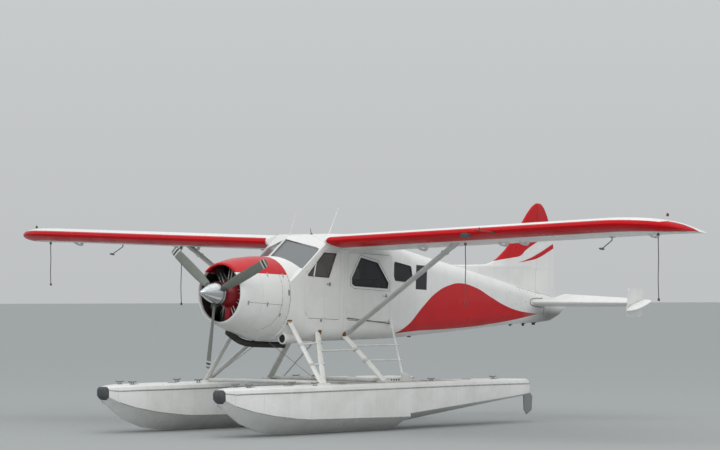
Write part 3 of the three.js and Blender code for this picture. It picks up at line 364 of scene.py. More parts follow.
# %% Red leading-edge band
def leading_edge_band(paint, place, axes):
    """White with a red band over the leading edge."""
    out = add(paint, "Math", {0: axes["X"]}, operation="ABSOLUTE")[0]
    folded = add(paint, "CombineXYZ", {"X": out, "Y": axes["Y"], "Z": axes["Z"]})[0]
    # height over the leading edge's own line, which climbs outboard
    height = add(paint, "VectorMath", {0: folded, 1: (-DIHEDRAL, CHORD_DROP, 1)}, operation="DOT_PRODUCT")["Value"]
    above = add(paint, "Math", {0: height, 1: 0.884 + 1.793 * CHORD_DROP}, operation="SUBTRACT")[0]
    depth_over = add(paint, "MapRange", {0: above, 1: 0.0, 2: 1.0, 3: 0.088, 4: -0.332})[0]
    depth_beneath = add(paint, "MapRange", {0: above, 1: -1.0, 2: 0.0, 3: 2.4, 4: 0.0})[0]
    depth = add(paint, "Math", {0: depth_over, 1: depth_beneath})[0]
    # seen from above, the tip is a quarter ellipse 0.95 m long and 0.857 m deep
    tip = add(paint, "MapRange", {0: out, 1: 6.02, 2: 6.97})[0]
    square = add(paint, "Math", {0: tip, 1: tip}, operation="MULTIPLY")[0]
    rest = add(paint, "Math", {0: 1.0, 1: square}, operation="SUBTRACT")[0]
    bow = add(paint, "Math", {0: rest}, operation="SQRT")[0]
    edge = add(paint, "Math", {0: bow, 1: -0.857, 2: 2.65}, operation="MULTIPLY_ADD")[0]
    behind = add(paint, "Math", {0: axes["Y"], 1: edge}, operation="SUBTRACT")[0]
    room = add(paint, "Math", {0: depth, 1: behind}, operation="SUBTRACT")[0]
    # at the tip's corner everything outboard of a slanting line is red too
    slant = add(paint, "VectorMath", {0: folded, 1: (1, -0.212, 0)}, operation="DOT_PRODUCT")["Value"]
    corner = add(paint, "Math", {0: slant, 1: 6.33056}, operation="SUBTRACT")[0]
    red = add(paint, "Math", {0: room, 1: corner}, operation="MAXIMUM")[0]
    # the inner end is round: it reaches least far in at the band's own height
    square = add(paint, "Math", {0: above, 1: above}, operation="MULTIPLY")[0]
    round_end = add(paint, "Math", {0: square, 1: 9.0, 2: 0.655}, operation="MULTIPLY_ADD")[0]
    mask = add(paint, "Math", {0: under(paint, 0.0, red), 1: under(paint, round_end, out)}, operation="MULTIPLY")[0]
    return red_in(paint, mask)


wing_enamel = enamel("wing enamel with red leading edge", WHITE, along="X", pitch=0.42, livery=leading_edge_band,
                     gloss=0.1)
control_enamel = enamel("white enamel on ribbed control surfaces", WHITE, along="X", pitch=0.24)
print(wing_enamel.name, "and", control_enamel.name)

# %% [markdown]
# ## The livery on the body
# The rear of the body carries a red field whose upper edge rises and falls in one long wave towards the tail, over
# a white belly. A plain dark square follows the last window. Under the tail cone a grey painted shade, for the shade
# of the tailplane on the downward-facing skin, thickens aft and downwards.

# %% Red field on the rear body
WAVE_TOP = [(3.62, -0.52), (3.95, -0.36), (4.35, -0.06), (4.75, 0.2), (5.1, 0.33), (5.45, 0.385), (5.9, 0.335),
            (6.4, 0.19), (6.9, 0.05), (7.3, -0.015), (7.6, -0.035), (7.9, -0.045)]
WAVE_FOOT = [(3.62, -0.52), (4.2, -0.455), (5.0, -0.405), (5.8, -0.345), (6.6, -0.255), (7.2, -0.17), (7.6, -0.1),
             (7.9, -0.045)]


def rear_wave(paint, place, axes):
    """White with the red field, a plain dark square behind the last window and a grey painted shade under the tail."""
    top = curve_height(paint, axes["Y"], 3.6, 7.95, -0.6, 0.5, WAVE_TOP)
    foot = curve_height(paint, axes["Y"], 3.6, 7.95, -0.6, 0.5, WAVE_FOOT)
    inside = between(paint, axes, foot, top)
    behind = add(paint, "Math", {0: inside, 1: under(paint, 3.66, axes["Y"])}, operation="MULTIPLY")[0]
    mask = add(paint, "Math", {0: behind, 1: under(paint, axes["Y"], 7.9)}, operation="MULTIPLY")[0]
    along = add(paint, "Math", {0: axes["Y"], 1: 4.30, 2: 0.158}, operation="COMPARE")[0]
    up = add(paint, "Math", {0: axes["Z"], 1: 0.43, 2: 0.2}, operation="COMPARE")[0]
    square = add(paint, "Math", {0: along, 1: up}, operation="MULTIPLY")[0]
    painted = add(paint, "MixRGB", {0: square, 1: red_in(paint, mask), 2: linear("#2b2c2e")})[0]
    # painted shade: grey over the tail cone's lower skin aft of 7.4 m, for the tailplane's shade on skin that faces
    # down
    aft = add(paint, "MapRange", {0: axes["Y"], 1: 7.4, 2: 8.22})[0]
    low = add(paint, "MapRange", {0: axes["Z"], 1: 0.1, 2: -0.03})[0]
    grime_and_shade = add(paint, "Math", {0: aft, 1: low}, operation="MULTIPLY")[0]
    return add(paint, "MixRGB", {0: grime_and_shade, 1: painted, 2: linear("#8c8c87")})[0]


body_enamel = enamel("body enamel with red rear field", WHITE, livery=rear_wave)
print(body_enamel.name, "with", len(WAVE_TOP), "points on its upper edge")

# %% [markdown]
# ## The livery on the fin
# Fin and rudder are red above a line that climbs aft, with the dorsal fin ahead of it white, and one thin red
# stripe below, which runs to a point at its front.

# %% Red fin and its stripe
FIN_EDGE = [(6.6, 0.78), (6.956, 0.849), (7.3, 0.905), (7.522, 0.948), (7.664, 1.046), (7.918, 1.174), (8.2, 1.3),
            (8.6, 1.47)]
STRIPE_TOP = [(7.4, 0.83), (7.486, 0.838), (7.75, 0.905), (8.028, 1.006), (8.4, 1.165), (8.6, 1.25)]
STRIPE_FOOT = [(7.4, 0.835), (7.486, 0.835), (7.75, 0.872), (8.032, 0.931), (8.45, 1.1), (8.6, 1.16)]


def fin_field(paint, place, axes):
    """White below, red above, with one stripe between."""
    edge = curve_height(paint, axes["Y"], 6.6, 8.6, 0.5, 1.5, FIN_EDGE)
    high = under(paint, edge, axes["Z"])
    behind_dorsal = under(paint, 6.62, axes["Y"])
    field = add(paint, "Math", {0: high, 1: behind_dorsal}, operation="MULTIPLY")[0]
    top = curve_height(paint, axes["Y"], 7.4, 8.6, 0.5, 1.5, STRIPE_TOP)
    foot = curve_height(paint, axes["Y"], 7.4, 8.6, 0.5, 1.5, STRIPE_FOOT)
    mask = add(paint, "Math", {0: field, 1: between(paint, axes, foot, top)}, operation="MAXIMUM")[0]
    return red_in(paint, mask)


fin_enamel = enamel("fin enamel with red field", WHITE, pitch=0.4, livery=fin_field)
print(fin_enamel.name)

# %% [markdown]
# ## Acrylic glazing
# The windows are clear acrylic sheet, which from outside reads dark over a dark cabin, while the sloping windscreen
# and the cockpit door's panes carry a pale grey painted reflection of the sky. Alpha lets part of the cabin through;
# faint smears about 15 cm wide keep the gloss from looking like a mirror.

# %% Acrylic glazing
def acrylic(name, tint, alpha, roughness=0.04):
    """Thin clear sheet, with faint smears that dull its gloss."""
    pane, shader = finish(name, tint, roughness)
    shader.inputs["IOR"].default_value = 1.49
    shader.inputs["Alpha"].default_value = alpha
    where = add(pane, "TexCoord")["Object"]
    smear = add(pane, "TexNoise", {"Vector": where, "Scale": 7.0, "Detail": 4.0})[0]
    return feed(pane, shader, Roughness=add(pane, "MapRange", {0: smear, 1: 0.4, 2: 0.8, 3: roughness,
                                                               4: roughness + 0.16})[0])


side_acrylic = acrylic("clear acrylic side windows", "#20262a", 0.62)
# painted reflection: the windscreen's pale grey tint and the cockpit panes' paler tint stand in for the sky on them
screen_acrylic = acrylic("clear acrylic windscreen with painted sky reflection", "#85898a", 0.82, roughness=0.1)
sky_painted_acrylic = acrylic("clear acrylic cockpit windows with painted sky reflection", "#5c5853", 0.7)
print(side_acrylic.name, "/", screen_acrylic.name, "/", sky_painted_acrylic.name)

# %% [markdown]
# ## Metals, paints on metal, rubber and plastic
# These surfaces differ in how they were made: brushed along one way, polished, plated, cast, forged, moulded. Each is
# two close tones mixed by noise at the grain's real size, with more or less gloss where the grain is coarser, and a
# bump where a finger would feel it. `scale` is grains per metre, so 50 is a grain of 20 mm.

# %% Metals, rubber and plastic with their grain
def grained(name, colour, other, scale, roughness, metallic=0.0, bump=0.0, stretch=(1, 1, 1), low=0.4, high=0.65):
    """A surface of two colours mixed by noise between low and high. `scale` is grains per metre."""
    material, shader = finish(name, colour, roughness, metallic)
    where = add(material, "TexCoord")["Object"]
    scaled = add(material, "Mapping", {"Vector": where, "Scale": stretch})[0]
    grain = add(material, "TexNoise", {"Vector": scaled, "Scale": scale, "Detail": 6.0, "Roughness": 0.65})[0]
    share = add(material, "MapRange", {0: grain, 1: low, 2: high})[0]
    shade = add(material, "MixRGB", {0: share, 1: linear(colour), 2: linear(other)})[0]
    rough = add(material, "MapRange", {0: grain, 1: 0.3, 2: 0.8, 3: roughness - 0.075, 4: roughness + 0.15})[0]
    feed(material, shader, Base_Color=shade, Roughness=rough)
    if bump:
        feed(material, shader, Normal=add(material, "Bump", {"Height": grain, "Strength": bump,
                                                             "Distance": 0.001})[0])
    return material


# dull grey lift struts, a shade under the white body, so their edges show
strut_enamel = grained("grey enamel on drawn strut tube", "#cdcecb", "#bfc0bc", 6, 0.38)
# the legs, steps and ladders: a slightly yellowed white with soft patches
gear_enamel = grained("white enamel on gear tube", "#e8e8e4", "#dad9d3", 7, 0.36)
# brush lines that run one way, nine times longer than wide
bare_aluminium = grained("brushed aluminium sheet", "#a9abab", "#8f9192", 22, 0.34, metallic=1.0, stretch=(1, 9, 9))
# yellow plating that gives way to brown rust in blots of 30 mm
plated_steel = grained("plated steel fitting with salt rust", "#a58f63", "#7a4a22", 34, 0.55, metallic=0.35, bump=0.4,
                       low=0.45, high=0.6)
# the same plating further gone, on the leg heads: the warmest spots on the white body
rusty_fitting = grained("zinc-plated leg fitting, yellow with rust", "#b3925a", "#5d3a1e", 34, 0.6, metallic=0.25,
                        bump=0.4, low=0.4, high=0.56)
# the dull spangle of zinc on wires, bolts and cleats
galvanised = grained("galvanised steel wire and bolts", "#9b9c9a", "#7d7e7c", 60, 0.42, metallic=0.85)
# nearly black, with paler scale where the gas is hottest
heat_steel = grained("exhaust steel tinted by heat", "#3e3e3d", "#54504b", 9, 0.58, metallic=0.5, bump=0.3)
# dark and rough; the engine's own black, and painted shade inside the cowl, so that the space there reads as depth
black_enamel_and_shade = grained("black heat-proof enamel on cast iron", "#363534", "#443f3b", 40, 0.5, bump=0.25)
# fins catch the light edge by edge and stay dark between
cast_grey = grained("cast aluminium cylinder fins", "#5c5e5f", "#444546", 50, 0.5, metallic=0.5, bump=0.2)
# the warm red nose behind the spinner, darker where oil has crept
crankcase_red = grained("red enamel on cast crankcase", "#b3202a", "#8d1820", 18, 0.4, bump=0.15)
# bright pairs of thin lines over the dark cylinders
tube_metal = grained("plated pushrod tube", "#d6d7d6", "#a9aaa9", 30, 0.35, metallic=0.5)
# the brightest metal here: a soft mirror with spinning marks round it
spinner_metal = grained("polished aluminium spinner", "#d2d4d5", "#b9bbbc", 14, 0.2, metallic=1.0, stretch=(1, 6, 1))
# mid grey between the bright spinner and the duller blades
hub_steel = grained("painted steel propeller hub", "#5b5e5c", "#474a48", 20, 0.42, metallic=0.3)
# small bright points on doors and cowl
chrome = grained("chromed latch", "#c9cbcc", "#b2b4b5", 30, 0.16, metallic=1.0)
# a worn pale line along each float's edge
float_rail = grained("rubbed aluminium rail on the floats", "#b9bab7", "#9c9d9a", 18, 0.42, metallic=0.7)
# matt and chalky, greyed by sun on the bows
cast_rubber = grained("moulded grey rubber", "#47494b", "#5b5d5e", 25, 0.8, bump=0.3)
# thin black outlines round the glass
black_rubber = grained("black extruded rubber", "#1b1c1d", "#262728", 45, 0.7)
# a soft dark line where two sheets meet
seam_shadow = grained("dark sealant in a panel joint", "#55544f", "#3d3c39", 30, 0.8)
# crinkles of 3 mm that kill every reflection below the windscreen
panel_black = grained("crackle black instrument panel", "#17181a", "#222326", 300, 0.6, bump=0.35)
# black with a soft sheen, which draws the wheel's ring against the paler seats
vinyl = grained("dark vinyl on the control wheel", "#1d1c1b", "#2a2826", 60, 0.55, bump=0.2)
# a smooth off-white rod that all but melts into the sky
mast_plastic = grained("white glass-fibre aerial", "#dedfdb", "#cfd0cb", 20, 0.4)
# glass with depth: dark green-grey with a sharp highlight
lamp_glass = grained("clear lamp glass over a reflector", "#56645f", "#3b4a46", 12, 0.08, metallic=0.2)
# unlit lenses, red to port and green to starboard: deep colour under a wet gloss
red_lens = grained("red moulded lamp lens", "#7c1218", "#640e13", 20, 0.15)
green_lens = grained("green moulded lamp lens", "#14683a", "#0f5730", 20, 0.15)
print("finishes so far:", len(bpy.data.materials))

# %% [markdown]
# ## Painted blades
# The blades are forged aluminium, sprayed a matt grey-green that wears thin towards the tips. Bands of pale and
# dark paint near the tips show the turning disc. The bands follow the distance from the shaft, measured at rest.

# %% Blade enamel with tip bands
TIP_BANDS = [(1.06, 1.085, "#c9cac4"), (1.085, 1.12, "#3a3c39"), (1.12, 1.145, "#c9cac4")]


def tip_banded():
    """Matt grey-green paint with the bands of TIP_BANDS: from, to and colour."""
    paint, shader = finish("matt blade enamel with tip bands", "#74776f", 0.5)
    place, axes = airframe_place(paint)
    disc = add(paint, "CombineXYZ", {"X": axes["X"], "Y": axes["Z"]})[0]
    reach = add(paint, "VectorMath", {0: disc}, operation="LENGTH")["Value"]
    wear = add(paint, "TexNoise", {"Vector": place, "Scale": 16.0, "Detail": 6.0})[0]
    base = add(paint, "MixRGB", {0: wear, 1: linear("#6b6e67"), 2: linear("#7d8079")})[0]
    for start, end, colour in TIP_BANDS:
        inside = add(paint, "Math", {0: add(paint, "Math", {0: reach, 1: start}, operation="GREATER_THAN")[0],
                                     1: add(paint, "Math", {0: reach, 1: end}, operation="LESS_THAN")[0]},
                     operation="MULTIPLY")[0]
        base = add(paint, "MixRGB", {0: inside, 1: base, 2: linear(colour)})[0]
    relief = add(paint, "Bump", {"Height": wear, "Strength": 0.15, "Distance": 0.0008})[0]
    return feed(paint, shader, Base_Color=base, Normal=relief)


blade_enamel = tip_banded()
print(blade_enamel.name, "with", len(TIP_BANDS), "bands")

# %% [markdown]
# ## Enamel on the floats
# The floats are riveted sheet too. Their decks carry a grey non-slip coat from the front legs aft, where people
# step, with grit that scatters the light. The hull below keeps the white, with faint water stains.

# %% Float enamel with a gritty deck
def gritty_deck(paint, place, axes):
    """White, with the non-slip coat over the middle of each deck."""
    level = add(paint, "SeparateXYZ", {0: add(paint, "TexCoord")["Object"]})
    out = add(paint, "Math", {0: level["X"]}, operation="ABSOLUTE")[0]
    near = add(paint, "Math", {0: out, 1: HALF_TRACK, 2: 0.26}, operation="COMPARE")[0]
    on_top = add(paint, "Math", {0: level["Z"], 1: 0.7475}, operation="GREATER_THAN")[0]
    along = add(paint, "Math", {0: level["Y"], 1: HUB_Y + 2.725, 2: 1.475}, operation="COMPARE")[0]
    deck = add(paint, "Math", {0: near, 1: on_top}, operation="MULTIPLY")[0]
    coat = add(paint, "Math", {0: deck, 1: along}, operation="MULTIPLY")[0]
    grit = add(paint, "TexNoise", {"Vector": place, "Scale": 160.0, "Detail": 2.0})[0]
    grey = add(paint, "MixRGB", {0: grit, 1: linear("#8d908d"), 2: linear("#a9aba7")})[0]
    return add(paint, "MixRGB", {0: coat, 1: linear(WHITE), 2: grey})[0]


float_enamel = enamel("white enamel on float hulls with non-slip deck", WHITE, pitch=0.5, grime=0.25,
                      livery=gritty_deck)
print(float_enamel.name)

# %% [markdown]
# ## Woven seat cloth
# The seats are foam pads in a hard-wearing woven cloth. Its threads are 1.2 mm apart, drawn 4 mm apart so that they
# show through the windows at all.

# %% Seat cloth
THREAD = 0.004


def woven(name, colour, other):
    """Plain weave: two sets of threads that pass over and under each other."""
    cloth, shader = finish(name, colour, 0.85)
    shader.inputs["Sheen Weight"].default_value = 0.3
    where = add(cloth, "TexCoord")["Object"]
    waves = [add(cloth, "TexWave", {"Vector": where, "Scale": 0.314 / THREAD, "Distortion": 0.4},
                 bands_direction=axis)[1] for axis in "XZ"]
    weave = add(cloth, "Math", {0: waves[0], 1: waves[1]}, operation="MULTIPLY")[0]
    shade = add(cloth, "MixRGB", {0: weave, 1: linear(colour), 2: linear(other)})[0]
    relief = add(cloth, "Bump", {"Height": weave, "Strength": 0.4, "Distance": 0.001})[0]
    return feed(cloth, shader, Base_Color=shade, Normal=relief)


seat_cloth = woven("woven grey seat cloth", "#2f2e30", "#4a484a")
print(seat_cloth.name)

# %% [markdown]
# ## Ropes under the wings
# Four thin mooring ropes hang free from the eyes under the wings. A rope is three strands laid round each other, so
# its section is a trefoil that turns once every 60 mm along the line. The route's points are those of the CAD
# model.

# %% Three-strand rope
def rope_fibre():
    """Polyester rope, weathered: fine fibres in a darker and a paler tone, mixed by noise."""
    rope, shader = finish("three-strand polyester rope", "#5a5650", 0.85)
    shader.inputs["Sheen Weight"].default_value = 0.25
    where = add(rope, "TexCoord")["Object"]
    fibres = add(rope, "TexNoise", {"Vector": where, "Scale": 420.0, "Detail": 3.0})[0]
    shade = add(rope, "MixRGB", {0: fibres, 1: linear("#3f3c38"), 2: linear("#77726a")})[0]
    relief = add(rope, "Bump", {"Height": fibres, "Strength": 0.4, "Distance": 0.0006})[0]
    return feed(rope, shader, Base_Color=shade, Normal=relief)


polyester_rope = rope_fibre()
# share of the rope's length, then its offsets across and along in millimetres
ROPE_ROUTE = [(0, 0, 0), (.04, 0, 0), (.1, 1, -1), (.17, 2, -1), (.24, 3, 0), (.31, 3, 2), (.38, 2, 3), (.45, 0, 3),
              (.52, -2, 2), (.59, -3, 0), (.66, -3, -2), (.73, -1, -3), (.8, 1, -3), (.87, 3, -2), (.94, 4, 0),
              (1, 4, 1)]
# name, place of the rope's top on the standing aircraft, length
ROPES = [("rope_inner_left", (3.08215, 2.35818, 2.90213), 0.92),
         ("rope_outer_left", (6.55403, 2.61722, 3.01213), 0.96),
         ("rope_inner_right", (-3.08215, 2.35818, 2.90213), 0.94),
         ("rope_outer_right", (-6.55403, 2.61722, 3.01213), 0.72)]


def smooth_path(points, count):
    """Points evenly spaced along a Catmull-Rom line through the given ones."""
    ends = [2 * points[0] - points[1], *points, 2 * points[-1] - points[-2]]
    fine = []
    for a, b, c, d in zip(ends, ends[1:], ends[2:], ends[3:]):
        for i in range(12):
            t = i / 12
            fine.append(0.5 * (2 * b + (c - a) * t + (2 * a - 5 * b + 4 * c - d) * t ** 2
                               + (3 * b - a - 3 * c + d) * t ** 3))
    fine.append(points[-1])
    marks = [0.0]
    for a, b in zip(fine, fine[1:]):
        marks.append(marks[-1] + (b - a).length)
    spaced, k = [], 0
    for i in range(count):
        reach = marks[-1] * i / (count - 1)
        while k + 2 < len(marks) and marks[k + 1] < reach:
            k += 1
        share = (reach - marks[k]) / (marks[k + 1] - marks[k])
        spaced.append(fine[k].lerp(fine[k + 1], min(max(share, 0), 1)))
    return spaced


LAY = 0.06  # length in which the strands go once round


def laid_rope(name, path, radius, sides=18):
    """A closed mesh tube whose three-lobed section turns along the path."""
    verts, faces, run = [], [], 0.0
    for k, point in enumerate(path):
        ahead = (path[min(k + 1, len(path) - 1)] - path[max(k - 1, 0)]).normalized()
        side = ahead.cross(Vector((0, 1, 0)) if abs(ahead.y) < 0.9 else Vector((1, 0, 0))).normalized()
        up = side.cross(ahead)
        run += (point - path[k - 1]).length if k else 0
        for i in range(sides):
            angle = 2 * math.pi * i / sides
            reach = radius * (0.86 + 0.14 * abs(math.cos(1.5 * (angle - 2 * math.pi * run / LAY))))
            verts.append(point + side * reach * math.cos(angle) + up * reach * math.sin(angle))
    for k in range(len(path) - 1):
        for i in range(sides):
            a, b = k * sides + i, k * sides + (i + 1) % sides
            faces.append((a, b, b + sides, a + sides))
    faces.append(tuple(range(sides))[::-1])
    faces.append(tuple(range((len(path) - 1) * sides, len(path) * sides)))
    mesh = bpy.data.meshes.new(name)
    mesh.from_pydata(verts, [], faces)
    bm = bmesh.new()
    bm.from_mesh(mesh)
    bmesh.ops.recalc_face_normals(bm, faces=bm.faces)
    bm.to_mesh(mesh)
    bm.free()
    piece = bpy.data.objects.new(name, mesh)
    bpy.context.scene.collection.objects.link(piece)
    return piece


def wraps(centre, radius, rise, steps):
    """Points of a coil that starts beside a point and climbs, sixteen to a turn."""
    angles = [i * math.pi / 8 for i in range(steps)]
    return [centre + Vector((radius * math.cos(a), radius * math.sin(a), rise * a / (2 * math.pi))) for a in angles]


for name, (x, y, z), length in ROPES:
    top = Vector((x, y + HUB_Y, z))
    route = [top + Vector((dx / 1000, dy / 1000, -share * length)) for share, dx, dy in ROPE_ROUTE]
    path = smooth_path(route, 150)
    turns = wraps(top + Vector((0, 0, 0.003)), 0.0155, 0.014, 41)
    rope, hitch, knot = [
        settle(laid_rope(title, line, radius), name.replace("rope", title), "airframe", polyester_rope,
               STANDING, 60)
        for title, line, radius in (("laid_rope", path, 0.007), ("hitch", turns, 0.0066),
                                    ("stopper_knot", wraps(path[-1], 0.0125, 0.012, 49), 0.0062))]
    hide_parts(name)
print("ropes:", [name for name, _, _ in ROPES])

# %% [markdown]
# ## Smooth skins over the frame
# The CAD nodes come as loose flat triangles. Where the real sheet is curved, a merged copy that is shaded smooth
# stands for the node. Flat and small nodes stay, and only get their finish.

# %% Finishes for the CAD nodes
SKINS = {
    "cabin_body": (body_enamel, 26), "cabin_roof": (body_enamel, 26), "tail_boom": (body_enamel, 30),
    "fin": (fin_enamel, 30), "rudder": (fin_enamel, 30), "wing_left": (wing_enamel, 30),
    "wing_right": (wing_enamel, 30), "cowl_upper": (red_enamel, 35), "cowl_left": (white_enamel, 35),
    "cowl_right": (white_enamel, 35), "engine": (black_enamel_and_shade, 30), "exhaust_pipe": (heat_steel, 40),
    "oil_cooler_scoop": (white_enamel, 40), "float_left": (float_enamel, 24), "float_right": (float_enamel, 24),
    "bow_bumper_left": (cast_rubber, 50), "bow_bumper_right": (cast_rubber, 50),
    "tailplane_left": (control_enamel, 30), "tailplane_right": (control_enamel, 30),
    "elevator": (control_enamel, 30), "flap_left": (control_enamel, 30), "flap_right": (control_enamel, 30),
    "aileron_left": (control_enamel, 30), "aileron_right": (control_enamel, 30),
    "wing_strut_left": (strut_enamel, 50), "wing_strut_right": (strut_enamel, 50),
    "float_gear_front": (gear_enamel, 40), "float_gear_rear": (gear_enamel, 40),
    "ladder_left": (gear_enamel, 40), "ladder_right": (gear_enamel, 40), "propeller": (blade_enamel, 35),
    "aerial_front": (mast_plastic, 50), "aerial_rear": (mast_plastic, 50),
    "water_rudder_left": (bare_aluminium, 30), "water_rudder_right": (bare_aluminium, 30),
}
skins = {}
node_bodies = {member: body for body, members in frame["record"]["behaviour"]["bodies"].items() for member in members}
for name, (paint, angle) in SKINS.items():
    skin = bpy.data.objects.new(name + "_skin", nodes[name].data.copy())
    bpy.context.scene.collection.objects.link(skin)
    take(skin)
    if skin.data.has_custom_normals:
        bpy.ops.mesh.customdata_custom_splitnormals_clear()
    bpy.ops.object.mode_set(mode="EDIT")
    bpy.ops.mesh.select_all(action="SELECT")
    bpy.ops.mesh.remove_doubles(threshold=0.00005)
    bpy.ops.object.mode_set(mode="OBJECT")
    settle(skin, name + "_skin", node_bodies[name], paint, STANDING, angle)
    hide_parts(name)
    skins[name] = skin
print("skins:", len(skins))

# %% [markdown]
# ## Panes, doors and seats
# Panes and door panels are flat sheet with sharp edges, so the frame's own pieces serve and get only a finish. The
# side panes are darker than the windscreen, and the cockpit door's panes carry a paler painted reflection of the sky.

# %% Finishes for the nodes that stay
stay = [name for name in nodes if name not in SKINS and not name.startswith("rope")]
for name in stay:
    if "cockpit_door_window" in name:
        paint = sky_painted_acrylic
    elif "door_window" in name or "aft_window" in name:
        paint = side_acrylic
    elif "windscreen" in name:
        paint = screen_acrylic
    elif "door" in name:
        paint = body_enamel
    else:
        paint = panel_black
    nodes[name].material_slots[0].material = paint
print("nodes that stay:", len(stay))

# %% [markdown]
# ## Turned shapes and places on the skin
# Fins, lamps, caps and pins are all round. Each starts as a circle that is extruded step by step along its axis and
# scaled at each step, as a lathe would cut it. To seat a fitting on a curved panel, a ray finds the skin there.

# %% Helpers for turned shapes and for finding the skin
ALONG_SHAFT = Matrix.Rotation(math.radians(-90), 4, "X")  # lays a turned shape along the propeller's shaft


def turned(profile, steps=24):
    """A solid of revolution about Z from (radius, height) pairs, closed at both ends."""
    radius, height = profile[0]
    bpy.ops.object.select_all(action="DESELECT")
    bpy.ops.mesh.primitive_circle_add(vertices=steps, radius=radius, fill_type="NGON")
    piece = bpy.context.object
    bpy.ops.object.mode_set(mode="EDIT")
    bpy.ops.mesh.select_all(action="SELECT")
    bpy.ops.transform.translate(value=(0, 0, height))
    for (r0, z0), (r1, z1) in zip(profile, profile[1:]):
        bpy.ops.mesh.extrude_region_move(TRANSFORM_OT_translate={"value": (0, 0, z1 - z0)})
        bpy.ops.transform.resize(value=(r1 / r0, r1 / r0, 1), center_override=(0, 0, z1))
    bpy.ops.mesh.select_all(action="SELECT")
    bpy.ops.mesh.normals_make_consistent(inside=False)
    bpy.ops.object.mode_set(mode="OBJECT")
    return piece


def stood(piece, spot, along):
    """Turns a piece's Z axis along a direction and moves it to a spot."""
    piece.data.transform(Matrix.Translation(spot) @ Vector(along).to_track_quat("Z", "Y").to_matrix().to_4x4())
    return piece


def on_side(piece, side):
    """The piece itself, mirrored across the aircraft's middle when side is -1."""
    if side < 0:
        piece.data.transform(MIRROR)
        piece.data.flip_normals()
    return piece


def on_skin(skin, origin, direction, place=AIRFRAME):
    """Where a ray first meets a skin, and the skin's normal there, both in the frame of `place`."""
    back = place.inverted()
    hit, spot, normal, _ = skin.ray_cast(place @ Vector(origin), place.to_3x3() @ Vector(direction).normalized())
    if not hit:
        raise ValueError(f"no skin of {skin.name} from {origin}")
    return back @ spot, (back.to_3x3() @ normal).normalized()


def side_line(skin, points, radius):
    """A tube that follows a skin's port side through (y, z) points."""
    spots = []
    for (y0, z0), (y1, z1) in zip(points, points[1:]):
        count = max(int(math.hypot(y1 - y0, z1 - z0) / 0.08), 1)
        spots += [(y0 + (y1 - y0) * i / count, z0 + (z1 - z0) * i / count) for i in range(count)]
    spots.append(points[-1])
    line = []
    for y, z in spots:
        spot, _ = on_skin(skin, (3, y, z), (-1, 0, 0))
        line.append(spot)
    return tube(line, radius)


crankcase = turned([(0.0525, 0.110), (0.0535, 0.150), (0.0935, 0.1605), (0.1515, 0.2110), (0.2065, 0.2865),
                    (0.2335, 0.3310), (0.2335, 0.4720)], 48)
print("a crankcase nose with", len(crankcase.data.polygons), "faces")

# %% [markdown]
# ## The radial engine
# Nine cylinders stand round a red crankcase. Each has thin cooling fins, a rocker box with two covers and two plated
# pushrod tubes in front. One cylinder is modelled upright and copied round the shaft at 40 degree steps.

# %% Cylinders with fins
CYLINDER_Y = 0.41  # from the propeller's centre back to the cylinders' middle
fin_profile = [(0.05, 0.232)]
for i in range(13):
    height = 0.236 + 0.0205 * i
    wide = 0.094 if i > 6 else 0.083
    fin_profile += [(0.068, height), (wide, height + 0.002), (wide, height + 0.0055), (0.068, height + 0.0075)]
fin_profile.append((0.05, 0.508))
barrel = turned(fin_profile, 20)
barrel.data.transform(Matrix.Translation((0, CYLINDER_Y, 0)))


def round_the_shaft(piece):
    """Nine copies of a piece that stands on the top cylinder, as one object."""
    return joined([copied(piece, Matrix.Rotation(-2 * math.pi * i / 9, 4, "Y")) for i in range(1, 9)] + [piece])


settle(round_the_shaft(barrel), "cylinder_fins", "airframe", cast_grey)
crankcase.data.transform(ALONG_SHAFT)
sump = block((-0.058, 0.262, -0.43), (0.058, 0.372, -0.2), 0.022, 3)
settle(joined([sump, crankcase]), "crankcase_nose", "airframe", crankcase_red, angle=50)
print("fins on nine cylinders, round a crankcase nose")

# %% [markdown]
# ## On and between the cylinders
# Two small covers cap each cylinder's valves, and two plated tubes per cylinder run from the crankcase up to them;
# they are the palest lines inside the cowl. A ring carries the ignition leads to the plugs. A dark plate of painted
# shade behind the cylinders closes the gaps, so that no one looks through the engine.

# %% Rocker boxes, pushrod tubes and ignition harness
covers = joined([block((x - 0.027, 0.352, 0.478), (x + 0.027, 0.424, 0.524), 0.010, 3) for x in (-0.036, 0.036)])
settle(round_the_shaft(covers), "rocker_covers", "airframe", cast_grey, angle=50)
rods = joined([rod((side * 0.027, 0.296, 0.19), (side * 0.034, 0.362, 0.502), 0.0105, sides=10)
               for side in (-1, 1)])
settle(round_the_shaft(rods), "pushrod_tubes", "airframe", tube_metal, angle=50)
lead = tube([(0.075, 0.345, 0.255), (0.082, 0.33, 0.33), (0.09, 0.345, 0.41), (0.062, 0.372, 0.45)], 0.0055,
            smooth=True)
bpy.ops.mesh.primitive_torus_add(major_radius=0.258, minor_radius=0.011, major_segments=54, minor_segments=8,
                                 rotation=(math.pi / 2, 0, 0), location=(0, 0.345, 0))
harness = bpy.context.object
settle(joined([round_the_shaft(lead), harness]), "ignition_harness", "airframe", bare_aluminium,
       angle=60)
# painted shade: a dark disc behind the cylinders stands for the shade deep in the engine bay
bpy.ops.mesh.primitive_cylinder_add(vertices=44, radius=0.545, depth=0.012, location=(0, 0.515, 0),
                                    rotation=(math.pi / 2, 0, 0))
shade_plate = bpy.context.object
bevel = shade_plate.modifiers.new("rolled edge", "BEVEL")
bevel.width, bevel.segments = 0.005, 2
settle(apply_all(shade_plate), "painted_shade_plate", "airframe", black_enamel_and_shade)
print("engine fittings settled")

# %% [markdown]
# ## Spinner and hub
# The spinner is spun aluminium, polished bright. Its skin is a smooth curve over the frame's coarser one, with a
# screwed seam at its foot. It turns with the propeller.

